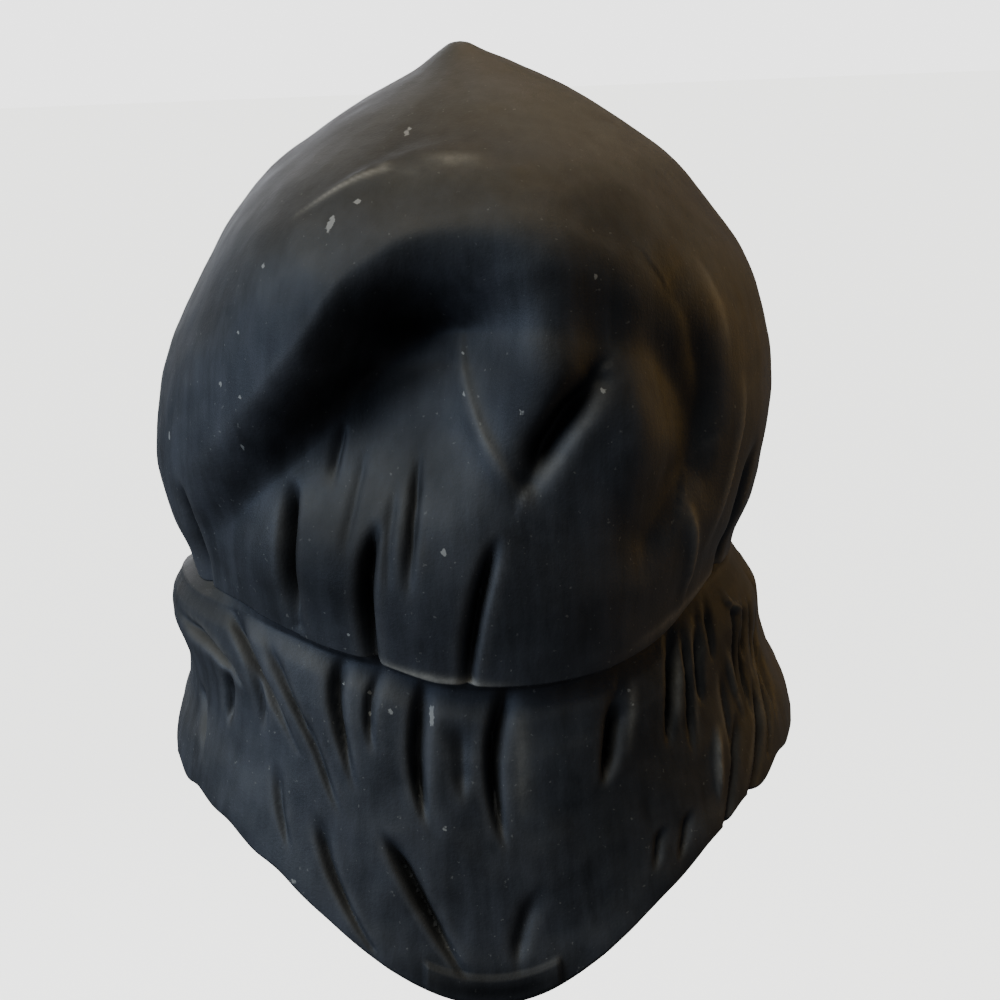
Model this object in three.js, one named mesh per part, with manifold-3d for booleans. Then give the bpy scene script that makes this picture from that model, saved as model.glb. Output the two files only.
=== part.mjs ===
// Rubber grim reaper mask: a slush-cast latex hood and collar, worn over the head, with a bone face.
// Millimetres. +Z is up, the face looks along +Y, and the origin is where the crown of a head sits.
// A turn of 0 degrees is the middle of the back, +90 is the side at +X and 180 is the front.

import * as THREE from 'three';
import { mergeVertices } from 'three/addons/utils/BufferGeometryUtils.js';
import Module from 'manifold-3d';

const wasm = await Module();
wasm.setup();

// Latex and fits
const WALL = 1.8;
const FACE_WALL = 1.8;
const SEAT_GAP = 0.3;

// Hood
const HOOD_WIDTH = 280;
const HOOD_DEPTH = 287;
const HOOD_BACK_SHARE = 0.495;
const HOOD_BACK = HOOD_DEPTH * HOOD_BACK_SHARE;
const HOOD_FRONT = HOOD_DEPTH - HOOD_BACK;
const PEAK_RISE = 56;
const HEM_DROP = 176;
const HEM_SIDE = 166;
const HEM_BACK = 190;
const HEM_FRONT = 222;
const HEM_START = 90;
const HEM_SAG_POWER = 1.5;
const HOLLOW_DEPTH = 36;
const HOLLOW_POWER = 3;
const LIP_SOFTNESS = 19;
const FOLD_DEPTH = 10;
const SECTION_SQUARENESS = 2.15;

// Collar
const COLLAR_WIDTH = 290;
const COLLAR_DEPTH = 292;
const COLLAR_BACK_SHARE = 0.514;
const COLLAR_BACK = COLLAR_DEPTH * COLLAR_BACK_SHARE;
const COLLAR_FRONT = COLLAR_DEPTH - COLLAR_BACK;
const EDGE_SIDE = 250;
const EDGE_BACK = 322;
const EDGE_FRONT = 318;
const EDGE_POWER = 5.8;
const HEM_STEP = 8;
const HEM_LAP = 14;
const LAP_MIDDLE = 0.6;
const GATHER_LENGTH = 0.12;

// Raised strip at the lower middle of the collar's back
const STRIP_WIDTH = 52;
const STRIP_HEIGHT = 10;
const STRIP_RISE = 1.6;
const STRIP_MARGIN = 1;

// Face opening, and the face seated in it
const OPENING_WIDTH = 148;
const OPENING_HEIGHT = 178;
const OPENING_DROP = 107;
const OPENING_EGG = 0.14;
const OPENING_FLARE = 6;
const RIM_DEPTH = 58;
const RIM_OVERCUT = 14;
const SEAT_FORWARD = 84;
const SEAT_STRAIGHT = 8;
const FACE_DOME = 30;
const DOME_POWER = 2.6;
const FACE_SKIRT = 0.02;
const FORMS_RISE = 3;
const EYE_SPACING = 60;
const EYE_WIDTH = 37;
const EYE_HEIGHT = 30;
const NOSE_WIDTH = 25;
const NOSE_HEIGHT = 30;
const NOSE_PINCH = 0.5;
const NOSE_WIDEST = 0.2;
const NOSE_FLAT = 0.3;

// How finely the skin is drawn
const BACK_COLUMNS = 42;
const FRONT_COLUMNS = 18;
const BACK_SPAN = 160;
const RIM_SIDES = 36;
const FACE_COLUMNS = 20;
const FACE_ROWS = 24;
const STRIP_CELLS = 8;
const HOLE_SEGMENTS = 8;

// Table whose rows are lists of values, in the order of its columns' names.
function namedRows(columns, rows) {
  return Object.values(rows).map((values) => Object.fromEntries(columns.map((key, i) => [key, values[i]])));
}

// Hood sections from the peak down. height: share of PEAK_RISE above the seat, of HEM_DROP below it.
// left, right: shares of half HOOD_WIDTH. back, front: shares of HOOD_BACK and HOOD_FRONT.
// rings: how many rings draw the skin down to the next section.
const HOOD_SECTIONS = [
  { height: 1.00, left: 0.00, right: 0.00, back: 0.00, front: 0.00, rings: 1 },
  { height: 0.985, left: 0.03, right: 0.03, back: 0.03, front: 0.03, rings: 1 },
  { height: 0.94, left: 0.06, right: 0.07, back: 0.07, front: 0.08, rings: 1 },
  { height: 0.80, left: 0.14, right: 0.19, back: 0.18, front: 0.22, rings: 1 },
  { height: 0.62, left: 0.28, right: 0.34, back: 0.34, front: 0.40, rings: 1 },
  { height: 0.39, left: 0.44, right: 0.48, back: 0.53, front: 0.58, rings: 1 },
  { height: 0.11, left: 0.60, right: 0.63, back: 0.73, front: 0.76, rings: 2 },
  { height: -0.08, left: 0.73, right: 0.75, back: 0.88, front: 0.89, rings: 2 },
  { height: -0.22, left: 0.84, right: 0.87, back: 0.97, front: 0.96, rings: 2 },
  { height: -0.37, left: 0.94, right: 0.93, back: 1.00, front: 1.00, rings: 2 },
  { height: -0.52, left: 1.00, right: 0.95, back: 0.99, front: 1.00, rings: 2 },
  { height: -0.68, left: 1.02, right: 0.93, back: 0.98, front: 0.98, rings: 1 },
  { height: -0.83, left: 0.99, right: 0.89, back: 0.97, front: 0.93, rings: 1 },
  { height: -0.93, left: 0.95, right: 0.84, back: 0.95, front: 0.89, rings: 1 },
  { height: -1.00, left: 0.93, right: 0.82, back: 0.94, front: 0.86, rings: 0 },
];

// Collar sections from the hem (0) to the lower edge (1), as shares of the collar's own sizes.
const COLLAR_SECTIONS = [
  { down: 0.05, left: 0.94, right: 0.79, back: 0.84, front: 0.82, rings: 1 },
  { down: 0.14, left: 0.97, right: 0.83, back: 0.87, front: 0.84, rings: 1 },
  { down: 0.26, left: 0.98, right: 0.87, back: 0.89, front: 0.87, rings: 2 },
  { down: 0.46, left: 0.94, right: 0.88, back: 0.92, front: 0.90, rings: 1 },
  { down: 0.63, left: 0.94, right: 0.91, back: 0.95, front: 0.93, rings: 2 },
  { down: 0.82, left: 0.98, right: 0.96, back: 0.97, front: 0.96, rings: 1 },
  { down: 1.00, left: 1.00, right: 0.98, back: 1.00, front: 1.00, rings: 0 },
];

// The hem at each turn. low: share of the way from HEM_SIDE down to HEM_BACK, or to HEM_FRONT in front.
// step: how far the collar lies inside the hem, as a share of HEM_STEP.
const HEM_SECTIONS = [
  { turn: -180, low: 1.00, step: 0.80 },
  { turn: -168, low: 0.95, step: 0.80 },
  { turn: -150, low: 0.74, step: 0.80 },
  { turn: -130, low: 0.41, step: 0.70 },
  { turn: -105, low: 0.07, step: 0.40 },
  { turn: -88, low: 0.00, step: 0.36 },
  { turn: -60, low: -0.03, step: 0.36 },
  { turn: -46, low: 0.02, step: 0.36 },
  { turn: -36, low: 0.22, step: 0.36 },
  { turn: -28, low: 0.42, step: 0.50 },
  { turn: -17, low: 0.64, step: 0.80 },
  { turn: -7, low: 0.94, step: 0.80 },
  { turn: 8, low: 1.04, step: 0.55 },
  { turn: 18, low: 1.00, step: 0.55 },
  { turn: 26, low: 0.86, step: 0.75 },
  { turn: 34, low: 0.66, step: 1.00 },
  { turn: 41, low: 0.38, step: 1.00 },
  { turn: 50, low: 0.08, step: 1.00 },
  { turn: 62, low: 0.00, step: 1.00 },
  { turn: 88, low: 0.00, step: 0.80 },
  { turn: 105, low: 0.07, step: 0.70 },
  { turn: 130, low: 0.41, step: 0.80 },
  { turn: 150, low: 0.74, step: 0.80 },
  { turn: 168, low: 0.95, step: 0.80 },
  { turn: 180, low: 1.00, step: 0.80 },
];

// The crown roll overhangs the back. At each turn: the lip's height as a share of HEM_DROP, the
// depth below it as a share of HOLLOW_DEPTH, and how far down it fades out, as a share of HEM_DROP.
const LIP_SECTIONS = [
  { turn: -64, height: -0.82, deep: 0.00, reach: 0.12 },
  { turn: -50, height: -0.69, deep: 0.24, reach: 0.18 },
  { turn: -37, height: -0.54, deep: 0.46, reach: 0.24 },
  { turn: -27, height: -0.41, deep: 0.74, reach: 0.32 },
  { turn: -19, height: -0.27, deep: 0.96, reach: 0.42 },
  { turn: -9, height: -0.19, deep: 1.00, reach: 0.44 },
  { turn: 1, height: -0.18, deep: 0.84, reach: 0.34 },
  { turn: 12, height: -0.20, deep: 0.50, reach: 0.24 },
  { turn: 24, height: -0.24, deep: 0.34, reach: 0.22 },
  { turn: 34, height: -0.32, deep: 0.26, reach: 0.22 },
  { turn: 46, height: -0.52, deep: 0.00, reach: 0.14 },
];

// Rounded swells (+) and dents (-). turn in degrees, height and tall as shares of HEM_DROP, wide as a
// share of half HOOD_WIDTH, rise as a share of FOLD_DEPTH.
const HOOD_SWELLS = [
  { name: 'pouch', turn: 12, height: -0.38, wide: 0.17, tall: 0.16, rise: 1.30 },
  { name: 'hem_bulge', turn: 4, height: -0.97, wide: 0.50, tall: 0.20, rise: 0.60 },
  { name: 'right_swell', turn: 27, height: -0.45, wide: 0.11, tall: 0.20, rise: 0.70 },
  { name: 'lower_back', turn: -12, height: -0.78, wide: 0.40, tall: 0.14, rise: 0.30 },
  { name: 'crown_roll_left', turn: -34, height: -0.16, wide: 0.34, tall: 0.16, rise: 0.45 },
  { name: 'crown_roll_right', turn: 18, height: -0.04, wide: 0.34, tall: 0.12, rise: 0.35 },
  { name: 'front_left_drape', turn: -112, height: -0.60, wide: 0.26, tall: 0.34, rise: 0.50 },
  { name: 'front_right_drape', turn: 110, height: -0.55, wide: 0.26, tall: 0.34, rise: 0.50 },
];

// Hood folds. Each runs through three points (turn in degrees, height as a share of HEM_DROP).
// deep: share of FOLD_DEPTH, negative for a raised ridge. far: soft side's width, on the right hand of
// the way down the fold, near: steep side's width, both shares of half HOOD_WIDTH. start, end: how
// much of the depth is left at its two ends.
const FOLD_COLUMNS = ['a', 'b', 'c', 'deep', 'near', 'far', 'start', 'end'];
const HOOD_FOLDS = namedRows(FOLD_COLUMNS, {
  pouch_right_slit: [[20, -0.41], [14, -0.51], [9, -0.62], 1.45, 0.040, 0.070, 0.4, 0.4],
  pouch_left_line: [[-1, -0.33], [1, -0.49], [8, -0.65], -0.30, 0.035, 0.045, 0.2, 0.2],
  right_valley: [[37, -0.26], [43, -0.45], [40, -0.64], 0.75, 0.080, 0.110, 0.4, 0.6],
  right_valley_low: [[40, -0.64], [32, -0.74], [26, -0.90], 0.45, 0.070, 0.100, 0.6, 0.1],
  left_pleat: [[-58, -0.66], [-59, -0.80], [-60, -0.95], 0.75, 0.035, 0.060, 0.0, 0.4],
  pleat_2: [[-34, -0.63], [-33, -0.80], [-32, -0.96], 1.05, 0.035, 0.050, 0.0, 0.2],
  pleat_4: [[-16, -0.70], [-18, -0.85], [-18, -1.03], 0.90, 0.035, 0.050, 0.0, 0.4],
  pleat_5: [[-9, -0.57], [-10, -0.72], [-11, -0.86], 0.35, 0.030, 0.045, 0.0, 0.0],
  pleat_6: [[4, -0.72], [0, -0.90], [-2, -1.07], 0.90, 0.035, 0.050, 0.0, 0.4],
  right_ridge: [[38, -0.70], [40, -0.84], [39, -0.97], -0.25, 0.030, 0.040, 0.0, 0.3],
  right_pleat: [[64, -0.62], [62, -0.80], [60, -0.96], 0.65, 0.035, 0.060, 0.0, 0.6],
  left_side_pleat: [[-88, -0.55], [-86, -0.78], [-84, -0.98], 0.70, 0.050, 0.090, 0.0, 0.8],
  right_side_pleat: [[90, -0.50], [88, -0.74], [87, -0.98], 0.70, 0.050, 0.090, 0.0, 0.8],
});

// Collar folds, with each point's height given as a share of the way from the hem to the lower edge.
const COLLAR_FOLDS = namedRows(FOLD_COLUMNS, {
  left_shoulder: [[-70, 0.20], [-56, 0.25], [-46, 0.36], 0.55, 0.040, 0.060, 0.3, 0.4],
  left_b: [[-49, 0.33], [-50, 0.47], [-50, 0.62], 0.45, 0.040, 0.050, 0.3, 0.1],
  left_d: [[-50, 0.06], [-43, 0.22], [-33, 0.48], 0.60, 0.040, 0.050, 0.4, 0.1],
  back_f: [[-25, 0.06], [-26, 0.22], [-22, 0.50], 0.65, 0.035, 0.055, 0.5, 0.0],
  back_h: [[-10, 0.02], [-12, 0.27], [-10, 0.50], 0.80, 0.035, 0.055, 0.4, 0.0],
  back_j: [[4, 0.06], [1, 0.27], [3, 0.54], 0.95, 0.035, 0.055, 0.6, 0.0],
  back_k: [[24, 0.16], [22, 0.30], [20, 0.45], 0.90, 0.040, 0.060, 0.3, 0.0],
  right_l: [[38, 0.08], [35, 0.28], [33, 0.50], 0.70, 0.035, 0.050, 0.5, 0.0],
  right_m: [[46, 0.12], [43, 0.30], [42, 0.48], 0.45, 0.035, 0.045, 0.4, 0.0],
  right_n: [[63, 0.22], [60, 0.36], [58, 0.50], 0.45, 0.040, 0.055, 0.3, 0.0],
  low_t: [[-28, 0.64], [-26, 0.82], [-19, 0.97], 0.45, 0.035, 0.050, 0.0, 0.3],
  low_u: [[-17, 0.56], [-12, 0.72], [-5, 0.91], 0.90, 0.035, 0.065, 0.0, 0.2],
  low_v: [[9, 0.64], [5, 0.78], [4, 0.90], 0.35, 0.045, 0.060, 0.0, 0.2],
  right_w: [[34, 0.74], [33, 0.84], [31, 0.94], 0.30, 0.035, 0.045, 0.0, 0.2],
  left_side: [[-92, 0.05], [-94, 0.30], [-92, 0.58], 0.70, 0.045, 0.070, 0.5, 0.0],
  right_side: [[90, 0.05], [92, 0.30], [90, 0.58], 0.70, 0.045, 0.070, 0.5, 0.0],
  front_left: [[-128, 0.05], [-132, 0.30], [-140, 0.62], 0.80, 0.050, 0.080, 0.5, 0.0],
  front_right: [[127, 0.05], [133, 0.30], [139, 0.60], 0.80, 0.050, 0.080, 0.5, 0.0],
  chest_left: [[-158, 0.10], [-162, 0.34], [-168, 0.66], 0.70, 0.050, 0.080, 0.4, 0.0],
  chest_right: [[160, 0.10], [164, 0.32], [170, 0.60], 0.70, 0.050, 0.080, 0.4, 0.0],
});

// Skull relief. across, wide: shares of half OPENING_WIDTH. up, tall: shares of half OPENING_HEIGHT,
// measured from the opening's middle. rise: share of FACE_DOME. A row off the middle is mirrored.
const FACE_RELIEF = [
  { name: 'eye_socket', across: 0.41, up: 0.19, wide: 0.30, tall: 0.24, rise: -0.62, edge: 4 },
  { name: 'brow', across: 0.38, up: 0.48, wide: 0.34, tall: 0.11, rise: 0.22, edge: 2 },
  { name: 'brow_middle', across: 0, up: 0.40, wide: 0.12, tall: 0.12, rise: -0.10, edge: 2 },
  { name: 'nose_bridge', across: 0, up: 0.08, wide: 0.11, tall: 0.20, rise: 0.24, edge: 2 },
  { name: 'nose_pit', across: 0, up: -0.20, wide: 0.18, tall: 0.19, rise: -0.40, edge: 4 },
  { name: 'cheekbone', across: 0.62, up: -0.13, wide: 0.24, tall: 0.10, rise: 0.34, edge: 2 },
  { name: 'cheek_hollow', across: 0.57, up: -0.45, wide: 0.20, tall: 0.22, rise: -0.44, edge: 2 },
  { name: 'upper_teeth', across: 0, up: -0.44, wide: 0.36, tall: 0.09, rise: 0.22, edge: 2 },
  { name: 'bite_line', across: 0, up: -0.545, wide: 0.34, tall: 0.035, rise: -0.12, edge: 2 },
  { name: 'lower_teeth', across: 0, up: -0.64, wide: 0.32, tall: 0.08, rise: 0.18, edge: 2 },
  { name: 'chin', across: 0, up: -0.86, wide: 0.26, tall: 0.11, rise: 0.22, edge: 2 },
  { name: 'temple', across: 0.84, up: 0.32, wide: 0.16, tall: 0.24, rise: -0.24, edge: 2 },
];
const EYE_UP = 0.20;
const NOSE_UP = -0.21;
const HOLE_FRONT = SEAT_FORWARD + 2 * FACE_DOME;
const HOLE_LENGTH = 3 * FACE_DOME;

const HOOD_LEVELS = HOOD_SECTIONS.map((row) => {
  const level = row.height * (row.height > 0 ? PEAK_RISE : HEM_DROP);
  return { ...row, level, drop: -level };
});
const HALF_HOOD = HOOD_WIDTH / 2;
const HALF_COLLAR = COLLAR_WIDTH / 2;
const DEGREE = Math.PI / 180;
const MEAN_ARC = (Math.PI * (HALF_HOOD + HOOD_BACK)) / 360;
const CURVE_STEPS = 10;
const FOLD_TAPER = 2.8;
const FOLD_POWER = 1.6;
const TURN_STEP = 0.5;
const HOOD_STEP = 0.05;
const COLLAR_STEP = 0.02;
const FACE_EDGE = SEAT_FORWARD + FACE_WALL + SEAT_GAP;

const latex = new THREE.MeshStandardMaterial({ color: 0x26272a, roughness: 0.62, metalness: 0 });
const boneLatex = new THREE.MeshStandardMaterial({ color: 0xb8ad92, roughness: 0.7, metalness: 0 });

function clamp01(value) {
  return Math.min(1, Math.max(0, value));
}

function smooth(value) {
  const t = clamp01(value);
  return t * t * (3 - 2 * t);
}

// Catmull-Rom blend of every named column of a table at a fractional row.
function rowAt(table, station) {
  const i = Math.min(table.length - 2, Math.floor(station));
  const f = station - i;
  const pick = (k) => table[Math.min(table.length - 1, Math.max(0, k))];
  const [p0, p1, p2, p3] = [pick(i - 1), pick(i), pick(i + 1), pick(i + 2)];
  const row = {};
  for (const key of Object.keys(p1)) {
    const cubic = -p0[key] + 3 * p1[key] - 3 * p2[key] + p3[key];
    const square = 2 * p0[key] - 5 * p1[key] + 4 * p2[key] - p3[key];
    row[key] = p1[key] + 0.5 * ((p2[key] - p0[key]) * f + square * f * f + cubic * f * f * f);
  }
  return row;
}

// Fractional row of a table whose column holds a value, for columns that only rise.
function stationOf(table, key, value) {
  let i = 0;
  while (i < table.length - 2 && table[i + 1][key] < value) {
    i += 1;
  }
  return i + clamp01((value - table[i][key]) / (table[i + 1][key] - table[i][key]));
}

// Fractional rows at which rings are drawn, from the table's rings column.
function ringStations(table) {
  const stations = [];
  table.forEach((section, i) => {
    for (let k = 0; k < section.rings; k += 1) {
      stations.push(i + k / section.rings);
    }
  });
  stations.push(table.length - 1);
  return stations;
}

// Turns of the skin's columns, closer together across the back, where the pleats are.
function columnTurns() {
  const turns = [];
  const frontSpan = 360 - BACK_SPAN;
  for (let k = 0; k < BACK_COLUMNS; k += 1) {
    turns.push(-BACK_SPAN / 2 + (BACK_SPAN * k) / BACK_COLUMNS);
  }
  for (let k = 0; k < FRONT_COLUMNS; k += 1) {
    turns.push(BACK_SPAN / 2 + (frontSpan * k) / FRONT_COLUMNS);
  }
  return turns;
}

// Smallest signed difference between two turns, in degrees.
function turnBetween(turn, from) {
  return ((((turn - from + 180) % 360) + 360) % 360) - 180;
}

// Point of a rounded plan section at a turn: a superellipse with its own four half lengths.
function planPoint(turn, left, right, back, front) {
  const s = Math.sin(turn * DEGREE);
  const c = Math.cos(turn * DEGREE);
  const across = s < 0 ? left : right;
  const along = c > 0 ? back : front;
  const sum = (Math.abs(s) / across) ** SECTION_SQUARENESS + (Math.abs(c) / along) ** SECTION_SQUARENESS;
  const radius = sum ** (-1 / SECTION_SQUARENESS);
  return [radius * s, -radius * c];
}

function hemRow(turn) {
  return rowAt(HEM_SECTIONS, stationOf(HEM_SECTIONS, 'turn', turnBetween(turn, 0)));
}

function hemHeight(turn) {
  const { low } = hemRow(turn);
  const lowest = Math.abs(turnBetween(turn, 0)) < 90 ? HEM_BACK : HEM_FRONT;
  return -(HEM_SIDE + (lowest - HEM_SIDE) * low);
}

function edgeHeight(turn) {
  const c = Math.cos(turn * DEGREE);
  const lowest = c > 0 ? EDGE_BACK : EDGE_FRONT;
  return -(EDGE_SIDE + (lowest - EDGE_SIDE) * Math.abs(c) ** EDGE_POWER);
}

// Undented hood skin at a turn and a fractional section.
function hoodBase(turn, station) {
  const row = rowAt(HOOD_LEVELS, station);
  const sag = clamp01((-row.level - HEM_START) / (HEM_DROP - HEM_START)) ** HEM_SAG_POWER;
  const z = row.level + (hemHeight(turn) + HEM_DROP) * sag;
  if (station <= 0) {
    return new THREE.Vector3(0, 0, PEAK_RISE);
  }
  const left = row.left * HALF_HOOD;
  const right = row.right * HALF_HOOD;
  const [x, y] = planPoint(turn, left, right, row.back * HOOD_BACK, row.front * HOOD_FRONT);
  return new THREE.Vector3(x, y, z);
}

// Undented collar skin at a turn and a share of the way from the hem to the lower edge.
function collarBase(turn, down) {
  const row = rowAt(COLLAR_SECTIONS, stationOf(COLLAR_SECTIONS, 'down', down));
  const z = hemHeight(turn) + (edgeHeight(turn) - hemHeight(turn)) * down;
  const left = row.left * HALF_COLLAR;
  const right = row.right * HALF_COLLAR;
  const [x, y] = planPoint(turn, left, right, row.back * COLLAR_BACK, row.front * COLLAR_FRONT);
  return new THREE.Vector3(x, y, z);
}

// Outward direction of a skin at a turn and a place down it, from its own slopes.
function outward(base, turn, place, step) {
  const around = base(turn + TURN_STEP, place).sub(base(turn - TURN_STEP, place));
  const down = base(turn, place + step).sub(base(turn, Math.max(0, place - step)));
  const normal = around.cross(down).negate();
  return normal.lengthSq() > 1e-9 ? normal.normalize() : new THREE.Vector3(0, 0, 1);
}

// A fold's strength at a place, given in millimetres around and up the skin from its points.
function foldDepth(fold, turn, height, heightUnit) {
  const middle = turnBetween(fold.b[0], turn);
  const flat = ([t, h]) => [(middle + t - fold.b[0]) * MEAN_ARC, h * heightUnit - height];
  const [a, b, c] = [flat(fold.a), flat(fold.b), flat(fold.c)];
  const control = [2 * b[0] - (a[0] + c[0]) / 2, 2 * b[1] - (a[1] + c[1]) / 2];
  let best = Infinity;
  let side = 0;
  let along = 0;
  let last = a;
  for (let k = 1; k <= CURVE_STEPS; k += 1) {
    const t = k / CURVE_STEPS;
    const bend = (n) => (1 - t) * (1 - t) * a[n] + 2 * t * (1 - t) * control[n] + t * t * c[n];
    const next = [bend(0), bend(1)];
    const [dx, dy] = [next[0] - last[0], next[1] - last[1]];
    const f = clamp01(-(last[0] * dx + last[1] * dy) / (dx * dx + dy * dy));
    const [px, py] = [last[0] + f * dx, last[1] + f * dy];
    const distance = Math.hypot(px, py);
    if (distance < best) {
      best = distance;
      side = px * dy - py * dx;
      along = (k - 1 + f) / CURVE_STEPS;
    }
    last = next;
  }
  const width = (side < 0 ? fold.far : fold.near) * HALF_HOOD;
  const ends = Math.min(
    fold.start + (1 - fold.start) * smooth(along * FOLD_TAPER),
    fold.end + (1 - fold.end) * smooth((1 - along) * FOLD_TAPER),
  );
  return fold.deep * FOLD_DEPTH * ends * Math.exp(-((best / width) ** FOLD_POWER));
}

// How far the hood's skin stands out of, or sinks below, its undented section.
function hoodRelief(turn, height) {
  let rise = 0;
  const wrapped = turnBetween(turn, 0);
  const station = stationOf(LIP_SECTIONS, 'turn', wrapped);
  if (wrapped > LIP_SECTIONS[0].turn && wrapped < LIP_SECTIONS.at(-1).turn) {
    const lip = rowAt(LIP_SECTIONS, station);
    const below = lip.height * HEM_DROP - height;
    const fade = Math.exp(-((Math.max(0, below) / (lip.reach * HEM_DROP)) ** HOLLOW_POWER));
    rise -= Math.max(0, lip.deep) * HOLLOW_DEPTH * smooth(below / (2 * LIP_SOFTNESS) + 0.5) * fade;
  }
  for (const swell of HOOD_SWELLS) {
    const across = (turnBetween(turn, swell.turn) * MEAN_ARC) / (swell.wide * HALF_HOOD);
    const up = (height / HEM_DROP - swell.height) / swell.tall;
    rise += swell.rise * FOLD_DEPTH * Math.exp(-(across * across + up * up));
  }
  for (const fold of HOOD_FOLDS) {
    rise -= foldDepth(fold, turn, height, HEM_DROP);
  }
  return rise;
}

function collarRelief(turn, down) {
  const length = hemHeight(turn) - edgeHeight(turn);
  let rise = 0;
  for (const fold of COLLAR_FOLDS) {
    rise -= foldDepth(fold, turn, down * length, length);
  }
  return rise;
}

// Hood skin, moved inward by an inset.
function hoodSkin(turn, station, inset) {
  const point = hoodBase(turn, station);
  const rise = station > 0 ? hoodRelief(turn, point.z) : 0;
  return point.addScaledVector(outward(hoodBase, turn, station, HOOD_STEP), rise - inset);
}

// Collar skin, moved inward by an inset.
function collarSkin(turn, down, inset) {
  const rise = collarRelief(turn, down) * smooth(down / GATHER_LENGTH);
  return collarBase(turn, down).addScaledVector(outward(collarBase, turn, down, COLLAR_STEP), rise - inset);
}

// Rings of the collar, from inside the hood's wall, past the step under its hem, to the lower edge.
function collarRings(inset) {
  const lapTop = stationOf(HOOD_LEVELS, 'drop', HEM_DROP - HEM_LAP);
  const last = HOOD_LEVELS.length - 1;
  const lap = [
    { station: lapTop, share: 0 },
    { station: (lapTop + last) / 2, share: LAP_MIDDLE },
    { station: last, share: 1 },
  ];
  const sunk = (turn, share) => WALL / 2 + (HEM_STEP * hemRow(turn).step - WALL / 2) * share;
  const rings = lap.map(({ station, share }) => (turn) => hoodSkin(turn, station, sunk(turn, share) + inset));
  for (const station of ringStations(COLLAR_SECTIONS)) {
    const { down } = rowAt(COLLAR_SECTIONS, station);
    rings.push((turn) => collarSkin(turn, down, inset));
  }
  return rings;
}

// Closed shell: outer rings down, a lip across, inner rings back up. A ring that is one point closes it.
function shellGeometry(outerRings, innerRings, turns) {
  const positions = [];
  const index = [];
  const rings = [...outerRings, ...innerRings.slice().reverse()];
  for (const ring of rings) {
    for (const turn of turns) {
      positions.push(...ring(turn).toArray());
    }
  }
  const count = turns.length;
  for (let r = 0; r < rings.length - 1; r += 1) {
    for (let k = 0; k < count; k += 1) {
      const a = r * count + k;
      const b = r * count + ((k + 1) % count);
      index.push(a, a + count, b, b, a + count, b + count);
    }
  }
  return { positions, index };
}

// Joins the last ring of a shell to its first, so that an open tube of rings becomes a closed ring.
function closeTube(shell, rings, count) {
  const lastRow = (rings - 1) * count;
  for (let k = 0; k < count; k += 1) {
    const next = (k + 1) % count;
    shell.index.push(lastRow + k, k, lastRow + next, lastRow + next, k, next);
  }
  return shell;
}

function toGeometry({ positions, index }) {
  const geometry = new THREE.BufferGeometry();
  geometry.setAttribute('position', new THREE.Float32BufferAttribute(positions, 3));
  geometry.setIndex(index);
  return geometry;
}

function solidFrom(geometry) {
  const source = geometry.clone();
  source.deleteAttribute('normal');
  source.deleteAttribute('uv');
  const merged = mergeVertices(source, 1e-4);
  const corners = merged.index.array;
  const triVerts = [];
  for (let i = 0; i < corners.length; i += 3) {
    const [a, b, c] = [corners[i], corners[i + 1], corners[i + 2]];
    if (a !== b && b !== c && c !== a) {
      triVerts.push(a, b, c);
    }
  }
  const vertProperties = new Float32Array(merged.attributes.position.array);
  const mesh = new wasm.Mesh({ numProp: 3, vertProperties, triVerts: new Uint32Array(triVerts) });
  return new wasm.Manifold(mesh);
}

function geometryFrom(solid) {
  const mesh = solid.getMesh();
  const geometry = new THREE.BufferGeometry();
  geometry.setAttribute('position', new THREE.BufferAttribute(new Float32Array(mesh.vertProperties), 3));
  geometry.setIndex(new THREE.BufferAttribute(new Uint32Array(mesh.triVerts), 1));
  geometry.computeVertexNormals();
  return geometry;
}

// Outline of the face opening at an angle from its top, egg-shaped, grown by a margin.
function openingPoint(angle, margin) {
  const halfWidth = OPENING_WIDTH / 2 + margin;
  const halfHeight = OPENING_HEIGHT / 2 + margin;
  const x = halfWidth * Math.sin(angle) * (1 + OPENING_EGG * Math.cos(angle));
  return [x, -OPENING_DROP + halfHeight * Math.cos(angle)];
}

// Solid oval sleeve along Y through the face opening, straight at the seat and flared in front.
function openingPlug(margin, startBehindSeat) {
  const flareStart = SEAT_FORWARD + SEAT_STRAIGHT;
  const stops = [
    { y: SEAT_FORWARD - startBehindSeat, flare: 0 },
    { y: flareStart, flare: 0 },
    { y: flareStart + RIM_DEPTH, flare: OPENING_FLARE },
  ];
  const turns = Array.from({ length: RIM_SIDES }, (_, k) => (360 * k) / RIM_SIDES);
  const middle = (y) => () => new THREE.Vector3(0, y, -OPENING_DROP);
  const ring = ({ y, flare }) => (turn) => {
    const [x, z] = openingPoint(turn * DEGREE, margin + flare);
    return new THREE.Vector3(x, y, z);
  };
  stops.reverse();
  const rings = [middle(stops[0].y), ...stops.map(ring), middle(stops.at(-1).y)];
  return solidFrom(toGeometry(shellGeometry(rings, [], turns)));
}

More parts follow.
